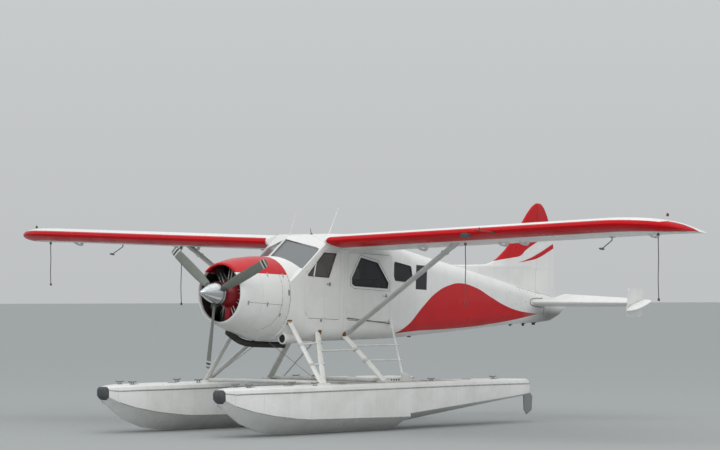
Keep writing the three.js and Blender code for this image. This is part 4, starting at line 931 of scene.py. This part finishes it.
# %% Spinner skin
SPINNER = [(0.346, 0.004), (0.340, 0.013), (0.322, 0.0285), (0.297, 0.0455), (0.270, 0.0620), (0.235, 0.0820),
           (0.196, 0.1020), (0.155, 0.1225), (0.110, 0.1420), (0.070, 0.1580), (0.030, 0.1720), (-0.010, 0.1815),
           (-0.032, 0.1845), (-0.034, 0.1860), (-0.045, 0.1860)]
spinner = turned([(radius, -ahead) for ahead, radius in SPINNER], 56)
spinner.data.transform(ALONG_SHAFT)
settle(spinner, "spinner_skin", "propeller", spinner_metal, angle=40)
back_plate = turned([(0.187, 0.038), (0.189, 0.0405), (0.189, 0.0475), (0.187, 0.050), (0.10, 0.051), (0.082, 0.06),
                     (0.082, 0.104), (0.07, 0.107)], 48)
back_plate.data.transform(ALONG_SHAFT)
settle(back_plate, "spinner_back_plate", "propeller", hub_steel, angle=40)
BLADE_LEAN = -5.9  # degrees from straight down to the lowest blade, where the propeller has stopped
cuffs = []
for i in range(3):
    lean = math.radians(BLADE_LEAN + 120 * i)
    cuff = turned([(0.046, 0.10), (0.049, 0.104), (0.049, 0.215), (0.044, 0.222), (0.035, 0.24)], 24)
    cuff.data.transform(Matrix.Rotation(-lean, 4, "Y") @ Matrix.Rotation(math.pi, 4, "Y"))
    cuffs.append(cuff)
settle(joined(cuffs), "blade_cuffs", "propeller", hub_steel, angle=40)
print("spinner, back plate and blade cuffs ride on the propeller")

# %% [markdown]
# ## Painted shade inside the cowl
# A dark coat of painted shade covers the cowl's inside, right up to the rolled lip, which keeps the colour of the
# outside. The coat is a copy of the skin's inner faces, 1.5 mm further in and a paint film thick.

# %% Painted shade inside the cowl
LIP_END = 0.127
# painted shade: a dark copy of the cowl skins' inner faces
shade_coats = []
for name in ("cowl_upper", "cowl_left", "cowl_right"):
    shade_coat = copied(skins[name], AIRFRAME.inverted())
    for face in shade_coat.data.polygons:
        outward = face.normal.x * face.center.x + face.normal.z * face.center.z > -0.02
        face.select = outward or face.center.y < LIP_END
    take(shade_coat)
    bpy.ops.object.mode_set(mode="EDIT")
    bpy.ops.mesh.select_mode(type="FACE")
    bpy.ops.mesh.delete(type="FACE")
    bpy.ops.mesh.select_all(action="SELECT")
    bpy.ops.transform.shrink_fatten(value=0.0015)
    bpy.ops.object.mode_set(mode="OBJECT")
    wall = shade_coat.modifiers.new("coat of painted shade", "SOLIDIFY")
    wall.thickness, wall.offset = 0.0008, 0
    shade_coats.append(apply_all(shade_coat))
settle(joined(shade_coats), "cowl_inside", "airframe", black_enamel_and_shade, angle=40)
print("the cowl is dark inside")

# %% [markdown]
# ## Cowl joints and latches
# The cowl's white sides are two panels each, held by toggle latches along a level joint. A joint is a thin dark
# line of sealant, drawn 5 mm wide so that it shows at all in the wide view.

# %% Joints and latches
cowl = skins["cowl_left"]
level_joint = side_line(cowl, [(0.20, -0.13), (0.9, -0.15)], 0.0026)
upright = side_line(cowl, [(0.875, 0.32), (0.88, -0.1), (0.86, -0.3), (0.78, -0.46), (0.64, -0.56), (0.5, -0.585)],
                    0.0026)
rear = side_line(cowl, [(1.052, 0.32), (1.052, -0.5)], 0.003)
settle(both_sides(joined([level_joint, upright, rear])), "cowl_joints", "airframe", seam_shadow)
latches = []
for y, z in [(0.215, -0.13), (0.57, -0.14), (0.30, 0.318), (0.62, 0.318), (0.95, 0.318), (0.88, -0.3)]:
    spot, normal = on_skin(cowl, (3, y, z), (-1, 0, 0))
    body = block((-0.012, -0.026, -0.004), (0.012, 0.026, 0.007), 0.004)
    lever = block((-0.008, -0.04, 0.003), (0.008, 0.012, 0.012), 0.003)
    latches.append(stood(joined([body, lever]), spot, normal))
settle(both_sides(joined(latches)), "cowl_latches", "airframe", chrome)
# painted shade: a black block on each side of the cowl stands for the shade inside a slot
slot_spot, slot_normal = on_skin(cowl, (3, 1.02, 0.05), (-1, 0, 0))
lip = stood(block((-0.012, -0.045, -0.003), (0.012, 0.045, 0.004), 0.003), slot_spot, slot_normal)
settle(both_sides(lip), "cowl_slots", "airframe", black_rubber)
print("joints and", 2 * len(latches), "latches on the cowl")

# %% [markdown]
# ## Windscreen post and seals
# The windscreen is two flat panes that meet on a white centre post. A loop of black rubber inside each pane's edge
# holds it; its upper outer corner is rounded, as the pane's cover strip is.

# %% Windscreen post and seals
SCREEN = {"foot": Vector((0, 1.166, 0.607)), "head": Vector((0, 1.575, 0.938)),
          "head_side": Vector((0.600, 1.778, 0.760)), "foot_side": Vector((0.620, 1.308, 0.426))}
screen_normal = (SCREEN["head"] - SCREEN["foot"]).cross(SCREEN["foot_side"] - SCREEN["foot"]).normalized()
if screen_normal.y > 0:
    screen_normal.negate()
post = tube([SCREEN["foot"] + Vector((0, -0.004, 0.0)), SCREEN["head"] + Vector((0, -0.004, 0.002))], 0.013, sides=12)
settle(post, "windscreen_centre_post", "airframe", white_enamel)


def screen_loop(inset, lift):
    """A loop inside the windscreen pane's edge, rounded at the upper outer corner."""
    corners = [SCREEN[key] for key in ("foot", "head", "head_side", "foot_side")]
    loop = []
    for i, corner in enumerate(corners):
        ahead = (corners[(i + 1) % 4] - corner).normalized()
        behind = (corners[i - 1] - corner).normalized()
        spot = corner + (ahead + behind) * inset / ahead.cross(behind).length
        if i == 2:
            loop += [spot + behind * 0.065, spot + (ahead + behind) * 0.017, spot + ahead * 0.065]
        else:
            loop.append(spot)
    return [spot + screen_normal * lift for spot in loop]


seal = tube(screen_loop(0.018, -0.004), 0.005, closed=True)
settle(both_sides(seal), "windscreen_seals", "airframe", black_rubber)
print("windscreen post and seals, facing", [round(v, 2) for v in screen_normal])

# %% [markdown]
# ## Side window seals
# Each side window sits in black extruded rubber, 13 mm wide, which outlines it against the white. The cabin door's
# window has a wider frame, whose fine joint shows round it, and the front corner of the cockpit door's window has an
# upright of its own. The outlines are (along, up) points of the CAD windows, in metres.

# %% Side window seals and frames
WINDOWS = {"cockpit_door": [(1.448, 0.335), (1.930, 0.325), (2.095, 0.715), (1.800, 0.715), (1.440, 0.352)],
           "cabin_door": [(2.490, 0.345), (2.690, 0.675), (3.095, 0.612), (3.372, 0.300), (3.360, 0.210),
                          (2.555, 0.220), (2.495, 0.250)],
           "aft": [(3.525, 0.420), (3.525, 0.625), (3.550, 0.648), (3.960, 0.600), (3.990, 0.585), (4.040, 0.410),
                   (4.035, 0.395), (3.925, 0.338), (3.560, 0.350)]}


def side_x(y):
    """Half width of the cabin's flat side at a place along it."""
    return CABIN_HALF - max(y - 3.44, 0) * 0.0909


def spread(outline, distance):
    """The outline pushed out by a distance."""
    turn = 1 if sum(a[0] * b[1] - b[0] * a[1] for a, b in zip(outline, outline[1:] + outline[:1])) > 0 else -1
    pushed = []
    for i, (y, z) in enumerate(outline):
        (py, pz), (ny, nz) = outline[i - 1], outline[(i + 1) % len(outline)]
        a = Vector((z - pz, py - y)).normalized() * turn
        b = Vector((nz - z, y - ny)).normalized() * turn
        move = (a + b) * distance / (1 + a.dot(b))
        pushed.append((y + move.x, z + move.y))
    return pushed


def window_seal(name, outline):
    """The rubber round one port window, and the joint round the cabin door's wider frame."""
    parts = [tube([(side_x(y) + 0.001, y, z) for y, z in outline], 0.0065, closed=True)]
    if name == "cabin_door":
        parts.append(tube([(side_x(y), y, z) for y, z in spread(outline, 0.042)], 0.0028, closed=True))
    return parts


for name, outline in WINDOWS.items():
    for side, label in ((1, "left"), (-1, "right")):
        body = node_bodies[f"aft_window_{label}" if name == "aft" else f"{name}_{label}"]
        seal = joined(window_seal(name, outline))
        settle(on_side(seal, side), f"{name}_window_seal_{label}", body, black_rubber, angle=60)
for side, label in ((1, "left"), (-1, "right")):
    upright = tube([(side * 0.619, 1.577, 0.328), (side * 0.619, 1.617, 0.54)], 0.011, sides=8)
    settle(upright, f"quarter_light_post_{label}", node_bodies[f"cockpit_door_{label}"], white_enamel)
print("seals round", 2 * len(WINDOWS), "side windows")

# %% [markdown]
# ## Door furniture
# Each door has a lever handle over a recess, whose shade is painted as a black disc, and two piano-hinge knuckles at
# its front edge. Below the cabin door runs a thin rail, and a rain gutter runs over both doors under the wing.

# %% Handles, hinges, rails and gutters
for side, label in ((1, "left"), (-1, "right")):
    for door, (y, z) in {"cockpit_door": (1.956, 0.222), "cabin_door": (3.33, 0.09)}.items():
        # painted shade: a black disc under each handle stands for the shade in its recess
        recess = turned([(0.026, -0.002), (0.026, 0.0035), (0.022, 0.005)], 20)
        stood(recess, (side * CABIN_HALF, y, z), (side, 0, 0))
        settle(recess, f"{door}_recess_{label}", node_bodies[f"{door}_{label}"], black_rubber)
        lever = block((0.624, y - 0.085, z - 0.010), (0.636, y + 0.008, z + 0.006), 0.005, 3)
        pivot = rod((0.616, y, z), (0.638, y, z), 0.012, sides=16)
        handle = on_side(joined([lever, pivot]), side)
        settle(handle, f"{door}_handle_{label}", node_bodies[f"{door}_{label}"], chrome)

knuckles = [rod((0.6235, y, z), (0.6235, y, z + 0.075), 0.0075, sides=12)
            for y, z in [(1.378, 0.25), (1.378, -0.2), (2.358, 0.5), (2.358, -0.2)]]
gutter = tube([(0.625, 1.86, 0.776), (0.626, 2.3, 0.779), (0.626, 2.9, 0.771), (0.626, 3.36, 0.765)], 0.006)
settle(both_sides(joined(knuckles + [gutter])), "hinge_knuckles_and_gutter", "airframe", white_enamel)
rail = tube([(0.632, 2.39, -0.301), (0.632, 2.9, -0.327), (0.632, 3.42, -0.355)], 0.006)
brackets = [block((0.61, y - 0.010, z - 0.008), (0.634, y + 0.010, z + 0.008), 0.002)
            for y, z in ((2.42, -0.303), (2.92, -0.328), (3.40, -0.354))]
settle(both_sides(joined([rail, *brackets])), "sill_rail", "airframe", seam_shadow)
print("door furniture on four doors")

# %% [markdown]
# ## Oil cooler and exhaust
# The scoop under the nose feeds the oil cooler, whose dark core fills its mouth. A clamp joins the exhaust's two
# lengths, and its open end has a rolled rim.

# %% Cooler core, clamp and rim
core = rod((0.4, 1.122, -0.667), (0.4, 1.229, -0.664), 0.0695, sides=24, rim=0.05)
settle(core, "oil_cooler_core", "airframe", black_rubber)
bpy.ops.mesh.primitive_torus_add(major_radius=0.0735, minor_radius=0.0055, major_segments=32, minor_segments=8,
                                 rotation=(math.pi / 2, 0, 0), location=(0.4, 1.1105, -0.668))
settle(bpy.context.object, "oil_cooler_lip", "airframe", white_enamel)
rim = rod((-0.13, 1.712, -0.756), (-0.13, 1.722, -0.756), 0.056, sides=28)
clamp = rod((-0.13, 1.0, -0.7595), (-0.13, 1.035, -0.76), 0.0555, sides=28, rim=0.1)
# the dark disc in the exhaust's open end is soot, and painted shade for the pipe's hollow
mouth = rod((-0.13, 1.70, -0.756), (-0.13, 1.7235, -0.756), 0.044, sides=28, rim=0.02)
settle(joined([rim, clamp]), "exhaust_clamps", "airframe", heat_steel)
settle(mouth, "exhaust_mouth", "airframe", black_rubber)
print("cooler and exhaust fittings")

# %% [markdown]
# ## Seat pads
# Each seat has a foam cushion and a back in woven cloth. A cushion starts as a box a little smaller than the pad
# and is blown up as cloth, so that it crowns and pulls in between its corners.

# %% Seat pads
def cushion(width, length, depth, most=0.016):
    """A pad that is blown up as cloth; no point of it moves further than `most`."""
    pad = block((-width / 2, -length / 2, -depth / 2), (width / 2, length / 2, depth / 2), 0.03, 4)
    remesh = pad.modifiers.new("even faces", "REMESH")
    remesh.mode, remesh.voxel_size = "VOXEL", 0.008
    apply_all(pad)
    start = [vertex.co.copy() for vertex in pad.data.vertices]
    cloth = pad.modifiers.new("foam pressure", "CLOTH")
    cloth.settings.use_pressure = True
    cloth.settings.uniform_pressure_force = 4
    cloth.settings.effector_weights.gravity = 0
    cloth.settings.quality = 4
    for frame_number in range(1, 21):
        bpy.context.scene.frame_set(frame_number)
    apply_all(pad)
    for vertex, before in zip(pad.data.vertices, start):
        move = vertex.co - before
        if move.length > most:
            vertex.co = before + move * (most / move.length)
    bpy.context.scene.frame_set(1)
    subdivision = pad.modifiers.new("finer weave", "SUBSURF")
    subdivision.levels = subdivision.render_levels = 1
    return apply_all(pad)


SEAT_PADS = {"seat_left": (0.29, 1.69, 0.40), "seat_right": (-0.29, 1.69, 0.40), "bench_seat": (0.0, 2.76, 1.02)}
shapes = {width: (cushion(width, 0.36, 0.08), cushion(width, 0.42, 0.06)) for width in (0.40, 1.02)}
for name, (x, y, width) in SEAT_PADS.items():
    base, rest = shapes[width]
    lower = copied(base, Matrix.Translation((x, y + 0.19, -0.108)) @ Matrix.Rotation(math.radians(4.3), 4, "X"))
    upper = copied(rest, Matrix.Translation((x, y + 0.412, 0.135)) @ Matrix.Rotation(math.radians(81.7), 4, "X"))
    for piece, part in ((lower, "cushion"), (upper, "back")):
        settle(piece, f"{name}_{part}", "airframe", seat_cloth, angle=60)
for pair in shapes.values():
    for piece in pair:
        bpy.data.objects.remove(piece)
print("six seat pads")

# %% [markdown]
# ## Control wheel and dials
# One column stands between the front seats and reaches over to a three-spoke wheel. The panel's dials are shallow
# cans under glass. Through the windscreen they show as a ring and a few round glints.

# %% Control wheel and dials
column = tube([(0.0, 1.60, -0.50), (0.0, 1.56, -0.10), (0.0, 1.50, 0.13), (0.27, 1.49, 0.15)], 0.018, sides=12,
              smooth=True)
bpy.ops.mesh.primitive_torus_add(major_radius=0.125, minor_radius=0.011, major_segments=40, minor_segments=10,
                                 rotation=(math.radians(70), 0, 0), location=(0.27, 1.515, 0.16))
wheel = bpy.context.object
middle = Vector((0.27, 1.515, 0.16))
spokes = [rod(middle, middle + Vector((0.12 * math.cos(a), 0.041 * math.sin(a), 0.113 * math.sin(a))), 0.008, sides=8)
          for a in (math.radians(30), math.radians(150), math.radians(270))]
settle(joined([column, wheel, *spokes]), "control_wheel", "airframe", vinyl)
dials = []
for x, z, radius in [(0.40, 0.26, 0.042), (0.30, 0.26, 0.042), (0.20, 0.26, 0.042), (0.40, 0.16, 0.042),
                     (0.30, 0.16, 0.042), (0.20, 0.16, 0.042), (0.0, 0.24, 0.05), (-0.14, 0.24, 0.05),
                     (-0.30, 0.22, 0.042), (0.08, 0.38, 0.03), (-0.08, 0.38, 0.03)]:
    dials.append(stood(turned([(radius, 0), (radius, 0.006), (radius * 0.92, 0.010), (radius * 0.84, 0.004)], 24),
                       (x, 1.3455, z), (0, 1, 0)))
settle(joined(dials), "instrument_dials", "airframe", lamp_glass)
print("control wheel and", len(dials), "dials")

# %% [markdown]
# ## Fittings on the wings
# A landing light sits in the port leading edge and a pitot tube stands ahead of it under a red cloth cover. Each
# aileron carries a balance weight on an arm below it, which rides with it. A red and a green lamp stand on the tips.

# %% Lights, pitot and balance weights
wing = skins["wing_left"]
spot, _ = on_skin(wing, (3.48, 0, 0.985), (0, 1, 0))
bpy.ops.mesh.primitive_uv_sphere_add(segments=32, ring_count=16, radius=1, location=spot + Vector((0, 0.042, -0.004)),
                                     scale=(0.118, 0.052, 0.066))
settle(bpy.context.object, "landing_light", "airframe", lamp_glass)
mast = tube([(4.07, 1.86, 0.985), (4.07, 1.80, 0.992), (4.07, 1.40, 1.002), (4.07, 1.33, 1.002)], 0.009, sides=12)
static = rod((4.07, 1.44, 0.998), (4.07, 1.44, 1.05), 0.007)
settle(joined([mast, static]), "pitot_tube", "airframe", hub_steel)
cover = turned([(0.006, 0.0), (0.013, 0.006), (0.015, 0.05), (0.012, 0.09), (0.016, 0.12)], 16)
settle(stood(cover, (4.07, 1.285, 1.002), (0, 1, 0)), "pitot_cover", "airframe", red_enamel)
for side, label in ((1, "left"), (-1, "right")):
    top, _ = on_skin(skins["aileron_" + label], (side * 5.3, 3.12, 0), (0, 0, 1))
    arm = tube([top + Vector((0, 0, 0.01)), top + Vector((0, 0.005, -0.05)), top + Vector((0, -0.232, -0.185))], 0.009,
               sides=10)
    weight = turned([(0.012, -0.016), (0.034, -0.010), (0.042, 0), (0.034, 0.010), (0.012, 0.016)], 24)
    weight.data.transform(Matrix.Diagonal((1.0, 1.25, 1, 1)))
    stood(weight, top + Vector((0, -0.250, -0.193)), (0, 0.15, 1))
    plate = block(tuple(top + Vector((-0.022, -0.05, -0.008))), tuple(top + Vector((0.022, 0.05, 0.004))), 0.003)
    settle(joined([arm, weight, plate]), "aileron_balance_" + label, node_bodies["aileron_" + label], galvanised)
    lamp_spot, _ = on_skin(skins["wing_" + label], (side * 6.80, 2.46, 3), (0, 0, -1))
    base = turned([(0.022, -0.006), (0.022, 0.006), (0.009, 0.012), (0.009, 0.064)], 20)
    lens = turned([(0.020, 0.062), (0.021, 0.084), (0.018, 0.094), (0.013, 0.104), (0.004, 0.110)], 20)
    settle(stood(base, lamp_spot, (0, 0, 1)), f"nav_light_base_{label}", "airframe", gear_enamel)
    settle(stood(lens, lamp_spot, (0, 0, 1)), f"nav_light_{label}", "airframe", red_lens if side > 0 else green_lens)
print("lights, pitot and balance weights")

# %% [markdown]
# ## Strut ends and filler caps
# Each lift strut ends in a collar and a bolted fork, at the cabin's foot and under the wing, and a wider collar
# stands a little short of the upper end. Two round caps close the filler holes in the top of each wing.

# %% Strut ends and filler caps
STRUT_FOOT, STRUT_HEAD = Vector((0.580, 2.443, -0.545)), Vector((2.979, 2.333, 0.925))
strut_way = (STRUT_HEAD - STRUT_FOOT).normalized()


def band(share, depth, thick, long, edge):
    """A rounded collar round the strut, at a share of its length."""
    collar = block((-depth / 2, -thick / 2, -long / 2), (depth / 2, thick / 2, long / 2), edge, 3)
    return stood(collar, STRUT_FOOT.lerp(STRUT_HEAD, share), strut_way)


collars = [band(*sizes) for sizes in [(0.865, 0.150, 0.068, 0.05, 0.025), (0.935, 0.120, 0.060, 0.12, 0.02),
                                      (0.045, 0.118, 0.058, 0.09, 0.02)]]
bolts = [rod((2.84, 2.27, 0.838), (2.84, 2.40, 0.838), 0.011, sides=6),
         rod((0.66, 2.37, -0.497), (0.66, 2.51, -0.497), 0.011, sides=6)]
settle(both_sides(joined(collars)), "strut_collars", "airframe", strut_enamel, angle=40)
settle(both_sides(joined(bolts)), "strut_bolts", "airframe", plated_steel)
caps = []
for x in (1.3, 2.1):
    spot, normal = on_skin(wing, (x, 2.55, 3), (0, 0, -1))
    caps.append(stood(turned([(0.052, -0.003), (0.052, 0.004), (0.046, 0.006), (0.030, 0.006), (0.028, 0.011),
                              (0.024, 0.012)], 28), spot, normal))
settle(both_sides(joined(caps)), "wing_caps", "airframe", bare_aluminium)
print("strut ends and wing caps")

# %% [markdown]
# ## Fittings on the body and tail
# The body is plain apart from its joints. A dark line of sealant shows where the fin stands on the body, where the
# tail cone is screwed on and round the tailplane's root. Short blade aerials stand under the belly, and one whip
# stands on the roof.

# %% Tail joints, screws and aerials
boom = skins["tail_boom"]
fin_foot = side_line(boom, [(7.28, 0.405), (7.7, 0.35), (8.05, 0.296)], 0.0028)
cone = side_line(boom, [(8.085, 0.29), (8.085, -0.05), (8.085, -0.165)], 0.0028)
root = side_line(boom, [(8.04, 0.228), (7.85, 0.224), (7.70, 0.208), (7.655, 0.185), (7.640, 0.150), (7.655, 0.115),
                        (7.70, 0.092), (7.85, 0.076), (8.04, 0.072)], 0.0062)
settle(both_sides(joined([fin_foot, cone, root])), "tail_joints", "airframe", seam_shadow)
screws = []
for y, z in [(7.35, 0.36), (7.6, 0.325), (7.85, 0.29), (8.02, 0.25), (8.12, 0.2), (8.12, 0.05), (8.12, -0.08),
             (7.2, 0.1), (7.0, 0.3), (7.5, 0.15)]:
    spot, normal = on_skin(boom, (3, y, z), (-1, 0, 0))
    screws.append(stood(turned([(0.008, -0.001), (0.008, 0.002), (0.005, 0.0035)], 12), spot, normal))
settle(both_sides(joined(screws)), "tail_screws", "airframe", galvanised)
belly = []
for y, tall, long in [(4.65, 0.045, 0.08), (7.34, 0.03, 0.06), (7.7, 0.045, 0.06), (7.99, 0.04, 0.08)]:
    spot, _ = on_skin(boom, (0, y, -2), (0, 0, 1))
    blade = block((-0.008, y - long / 2, spot.z - tall), (0.008, y + long / 2, spot.z + 0.01), 0.005, 3)
    foot = block((-0.022, y - long / 2 - 0.02, spot.z - 0.006), (0.022, y + long / 2 + 0.02, spot.z + 0.008), 0.004)
    belly += [blade, foot]
settle(joined(belly), "belly_aerials", "airframe", black_rubber)
roof_spot, _ = on_skin(skins["cabin_roof"], (0.25, 1.90, 3), (0, 0, -1))
whip = rod(roof_spot - Vector((0, 0, 0.01)), roof_spot + Vector((0.0, -0.035, 0.095)), 0.006, 0.003)
whip_foot = turned([(0.022, -0.003), (0.022, 0.006), (0.012, 0.014)], 20)
settle(joined([whip, stood(whip_foot, roof_spot, (0, 0, 1))]), "roof_whip", "airframe", black_rubber)
print("tail joints,", 2 * len(screws), "screws and", len(belly) // 2, "belly aerials")

# %% [markdown]
# ## Leg-head fittings
# Each leg meets the body at a plated steel plate with a lug and four bolts. Salt water has turned the plating brown
# in blots, which makes these the warmest spots on the white body. A small bright ring sits above the middle leg.

# %% Leg-head fittings
fittings = []
for y, z in [(1.105, -0.408), (1.757, -0.548), (2.365, -0.552)]:
    spot, normal = on_skin(skins["cabin_body"], (3, y, z), (-1, 0, 0))
    plate = stood(block((-0.038, -0.038, -0.004), (0.038, 0.038, 0.006), 0.003), spot, normal)
    lug = stood(block((-0.022, -0.04, 0.004), (0.022, 0.012, 0.028), 0.008, 3), spot, normal)
    fittings += [plate, lug]
    for dy, dz in [(-0.027, 0.026), (0.027, 0.026), (-0.027, -0.026), (0.027, -0.026)]:
        place, _ = on_skin(skins["cabin_body"], (3, y + dy, z + dz), (-1, 0, 0))
        head = turned([(0.011, 0.004), (0.011, 0.012), (0.007, 0.014)], 6)
        fittings.append(stood(head, place, normal))
settle(both_sides(joined(fittings)), "leg_head_fittings", "airframe", rusty_fitting)
side_ring = turned([(0.024, -0.002), (0.024, 0.004), (0.017, 0.008), (0.012, 0.004)], 20)
stood(side_ring, (CABIN_HALF, 1.772, -0.361), (1, 0, 0))
settle(both_sides(side_ring), "side_ring", "airframe", bare_aluminium)
print("leg-head fittings")

# %% [markdown]
# ## Brace wires
# Two steel wires cross between the front legs, each from a float up to the leg's head on the other side, and keep the
# frame from leaning sideways. Thicker threaded ends, 12 cm long, let a mechanic tighten them.

# %% Brace wires
wires = []
for side in (1, -1):
    head = AIRFRAME @ Vector((-side * 0.47, 1.124, -0.40))
    foot = ON_FLOATS @ Vector((side * 1.17, 1.085, 0.79))
    wires.append(rod(foot, head, 0.005, sides=6))
    for end, other in ((foot, head), (head, foot)):
        way = (other - end).normalized()
        wires.append(rod(end, end + way * 0.12, 0.009, 0.006, sides=8))
settle(joined(wires), "brace_wires", "airframe", galvanised, STANDING)
print("brace wires:", len(wires) // 3)

# %% [markdown]
# ## Clamps of the step bars
# The step bars and the ladder hang on the port legs by rounded clamps. The clamps are found by height, on the line
# from each leg's foot to its head, and stand square to it.

# %% Clamps of the step bars
# head in the airframe's frame, station of the foot on the float, depth and thickness of the leg's section
LEG_LINES = {"firewall": ((0.504, 1.124, -0.352), 1.065, 0.106, 0.050),
             "middle": ((0.557, 1.758, -0.509), 1.110, 0.106, 0.050),
             "rear": ((0.529, 2.387, -0.550), 2.560, 0.142, 0.064)}
clamps = []
for leg, height in [("firewall", 0.61), ("firewall", 0.30), ("middle", 0.64), ("middle", 0.31), ("middle", 0.51),
                    ("rear", 0.512), ("rear", 0.34)]:
    top, foot_y, deep, thick = LEG_LINES[leg]
    top, base = AIRFRAME @ Vector(top), ON_FLOATS @ Vector((HALF_TRACK, foot_y, 0.764))
    spot = base.lerp(top, (0.75 + height - base.z) / (top.z - base.z))
    collar = block((-deep / 2 - 0.003, -thick / 2 - 0.004, -0.03), (deep / 2 + 0.003, thick / 2 + 0.004, 0.03), 0.02, 3)
    clamps.append(stood(collar, spot, top - base))
settle(joined(clamps), "step_clamps", "airframe", strut_enamel, STANDING, angle=45)
print("clamps of the step bars:", len(clamps))

# %% [markdown]
# ## Rub rails and deck fittings of the floats
# A rubbed aluminium rail runs along each deck edge and each chine. Round hatches reach every watertight compartment,
# and mooring cleats stand by the deck's edges. Rays from above seat them on the deck's curve.

# %% Rub rails, hatches and cleats
# (station along the float, half width, height) of the two edges
SHEER = [(-1.195, 0.117, 0.672), (-1.05, 0.203, 0.655), (-0.78, 0.285, 0.662), (-0.38, 0.350, 0.662),
         (0.10, 0.378, 0.662), (0.40, 0.380, 0.662), (2.75, 0.380, 0.662), (4.30, 0.335, 0.660),
         (5.50, 0.250, 0.650), (6.05, 0.172, 0.640)]
CHINE = [(-1.05, 0.205, 0.480), (-0.78, 0.285, 0.395), (-0.38, 0.350, 0.318), (0.10, 0.378, 0.262),
         (0.40, 0.380, 0.240), (2.745, 0.380, 0.205)]
for side, label in ((1, "left"), (-1, "right")):
    middle = side * HALF_TRACK
    float_skin, body = skins["float_" + label], node_bodies["float_" + label]
    rails = [tube([(middle + hand * (half - 0.002), y, z) for y, half, z in line], radius, sides=8)
             for line, radius in ((SHEER, 0.010), (CHINE, 0.007)) for hand in (1, -1)]
    settle(joined(rails), "rub_rails_" + label, body, float_rail, ON_FLOATS)
    lids = []
    for y in (-0.55, 0.30, 1.55, 3.55, 4.60, 5.35):
        lid = turned([(0.078, -0.004), (0.078, 0.004), (0.070, 0.007), (0.034, 0.007), (0.030, 0.0035),
                      (0.012, 0.0035)], 32)
        deck, _ = on_skin(float_skin, (middle, y, 2), (0, 0, -1), ON_FLOATS)
        lids.append(stood(lid, deck, (0, 0, 1)))
    settle(joined(lids), "float_hatches_" + label, body, bare_aluminium, ON_FLOATS)
    cleats = []
    for y, out in [(-0.72, 0.14), (-0.72, -0.14), (0.65, 0.24), (0.65, -0.24), (3.45, 0.22), (3.45, -0.22),
                   (5.15, 0.12)]:
        deck, _ = on_skin(float_skin, (middle + out, y, 2), (0, 0, -1), ON_FLOATS)
        foot = block((deck.x - 0.018, y - 0.04, deck.z - 0.004), (deck.x + 0.018, y + 0.04, deck.z + 0.008), 0.003)
        posts = [rod((deck.x, y + d, deck.z), (deck.x, y + d, deck.z + 0.035), 0.008, sides=10)
                 for d in (-0.025, 0.025)]
        horn = tube([(deck.x, y - 0.085, deck.z + 0.046), (deck.x, y - 0.03, deck.z + 0.038),
                     (deck.x, y + 0.03, deck.z + 0.038), (deck.x, y + 0.085, deck.z + 0.046)], 0.0095, sides=10)
        cleats += [foot, horn, *posts]
    settle(joined(cleats), "mooring_cleats_" + label, body, galvanised, ON_FLOATS)
# painted shade: black plugs stand for the shade in the ladder plate's four holes
holes = [rod((HALF_TRACK - 0.0085, y, 0.782), (HALF_TRACK + 0.0085, y, 0.782), 0.017, sides=16, rim=0.05)
         for y in (2.72, 2.78, 2.84, 2.90)]
settle(joined(holes), "ladder_plate_holes", "airframe", black_rubber, ON_FLOATS)
print("rub rails, hatches and cleats on both floats")

# %% [markdown]
# ## Floor and light
# The aircraft stands on a plain pale floor under a soft overcast sky that brightens upwards. Two broad discs of light,
# one high over the port bow and a weaker one above, give it a gentle shape and no hard shadow.

# %% Studio
bpy.ops.mesh.primitive_circle_add(vertices=96, radius=300, fill_type="NGON")
floor = bpy.context.object
floor.name = "studio_floor"
floor_paint, floor_shader = finish("matt studio floor", "#a3a6a6", 0.95)
floor_shader.inputs["Specular IOR Level"].default_value = 0.1
floor.data.materials.append(floor_paint)
world = bpy.data.worlds.new("overcast")
world.use_nodes = True
height = add(world, "SeparateXYZ", {0: add(world, "TexCoord")["Generated"]})["Z"]
bright = add(world, "MapRange", {0: height, 1: 0.0, 2: 1.0, 3: 0.61, 4: 1.3})[0]
background = world.node_tree.nodes["Background"]
background.inputs["Color"].default_value = linear("#eef1f3")
world.node_tree.links.new(bright, background.inputs["Strength"])
bpy.context.scene.world = world
for name, place, size, power in [("sky_port", (16, HUB_Y - 14, 20), 18, 1500),
                                 ("sky_above", (-4, HUB_Y + 4, 22), 22, 300)]:
    lamp = bpy.data.lights.new(name, "AREA")
    lamp.shape, lamp.size, lamp.energy = "DISK", size, power
    holder = bpy.data.objects.new(name, lamp)
    bpy.context.scene.collection.objects.link(holder)
    aim = Vector((0, HUB_Y + 3, 1.5)) - Vector(place)
    holder.matrix_world = Matrix.Translation(place) @ aim.to_track_quat("-Z", "Y").to_matrix().to_4x4()
bpy.context.scene.view_settings.view_transform = "Standard"
print("floor, world and two lights")
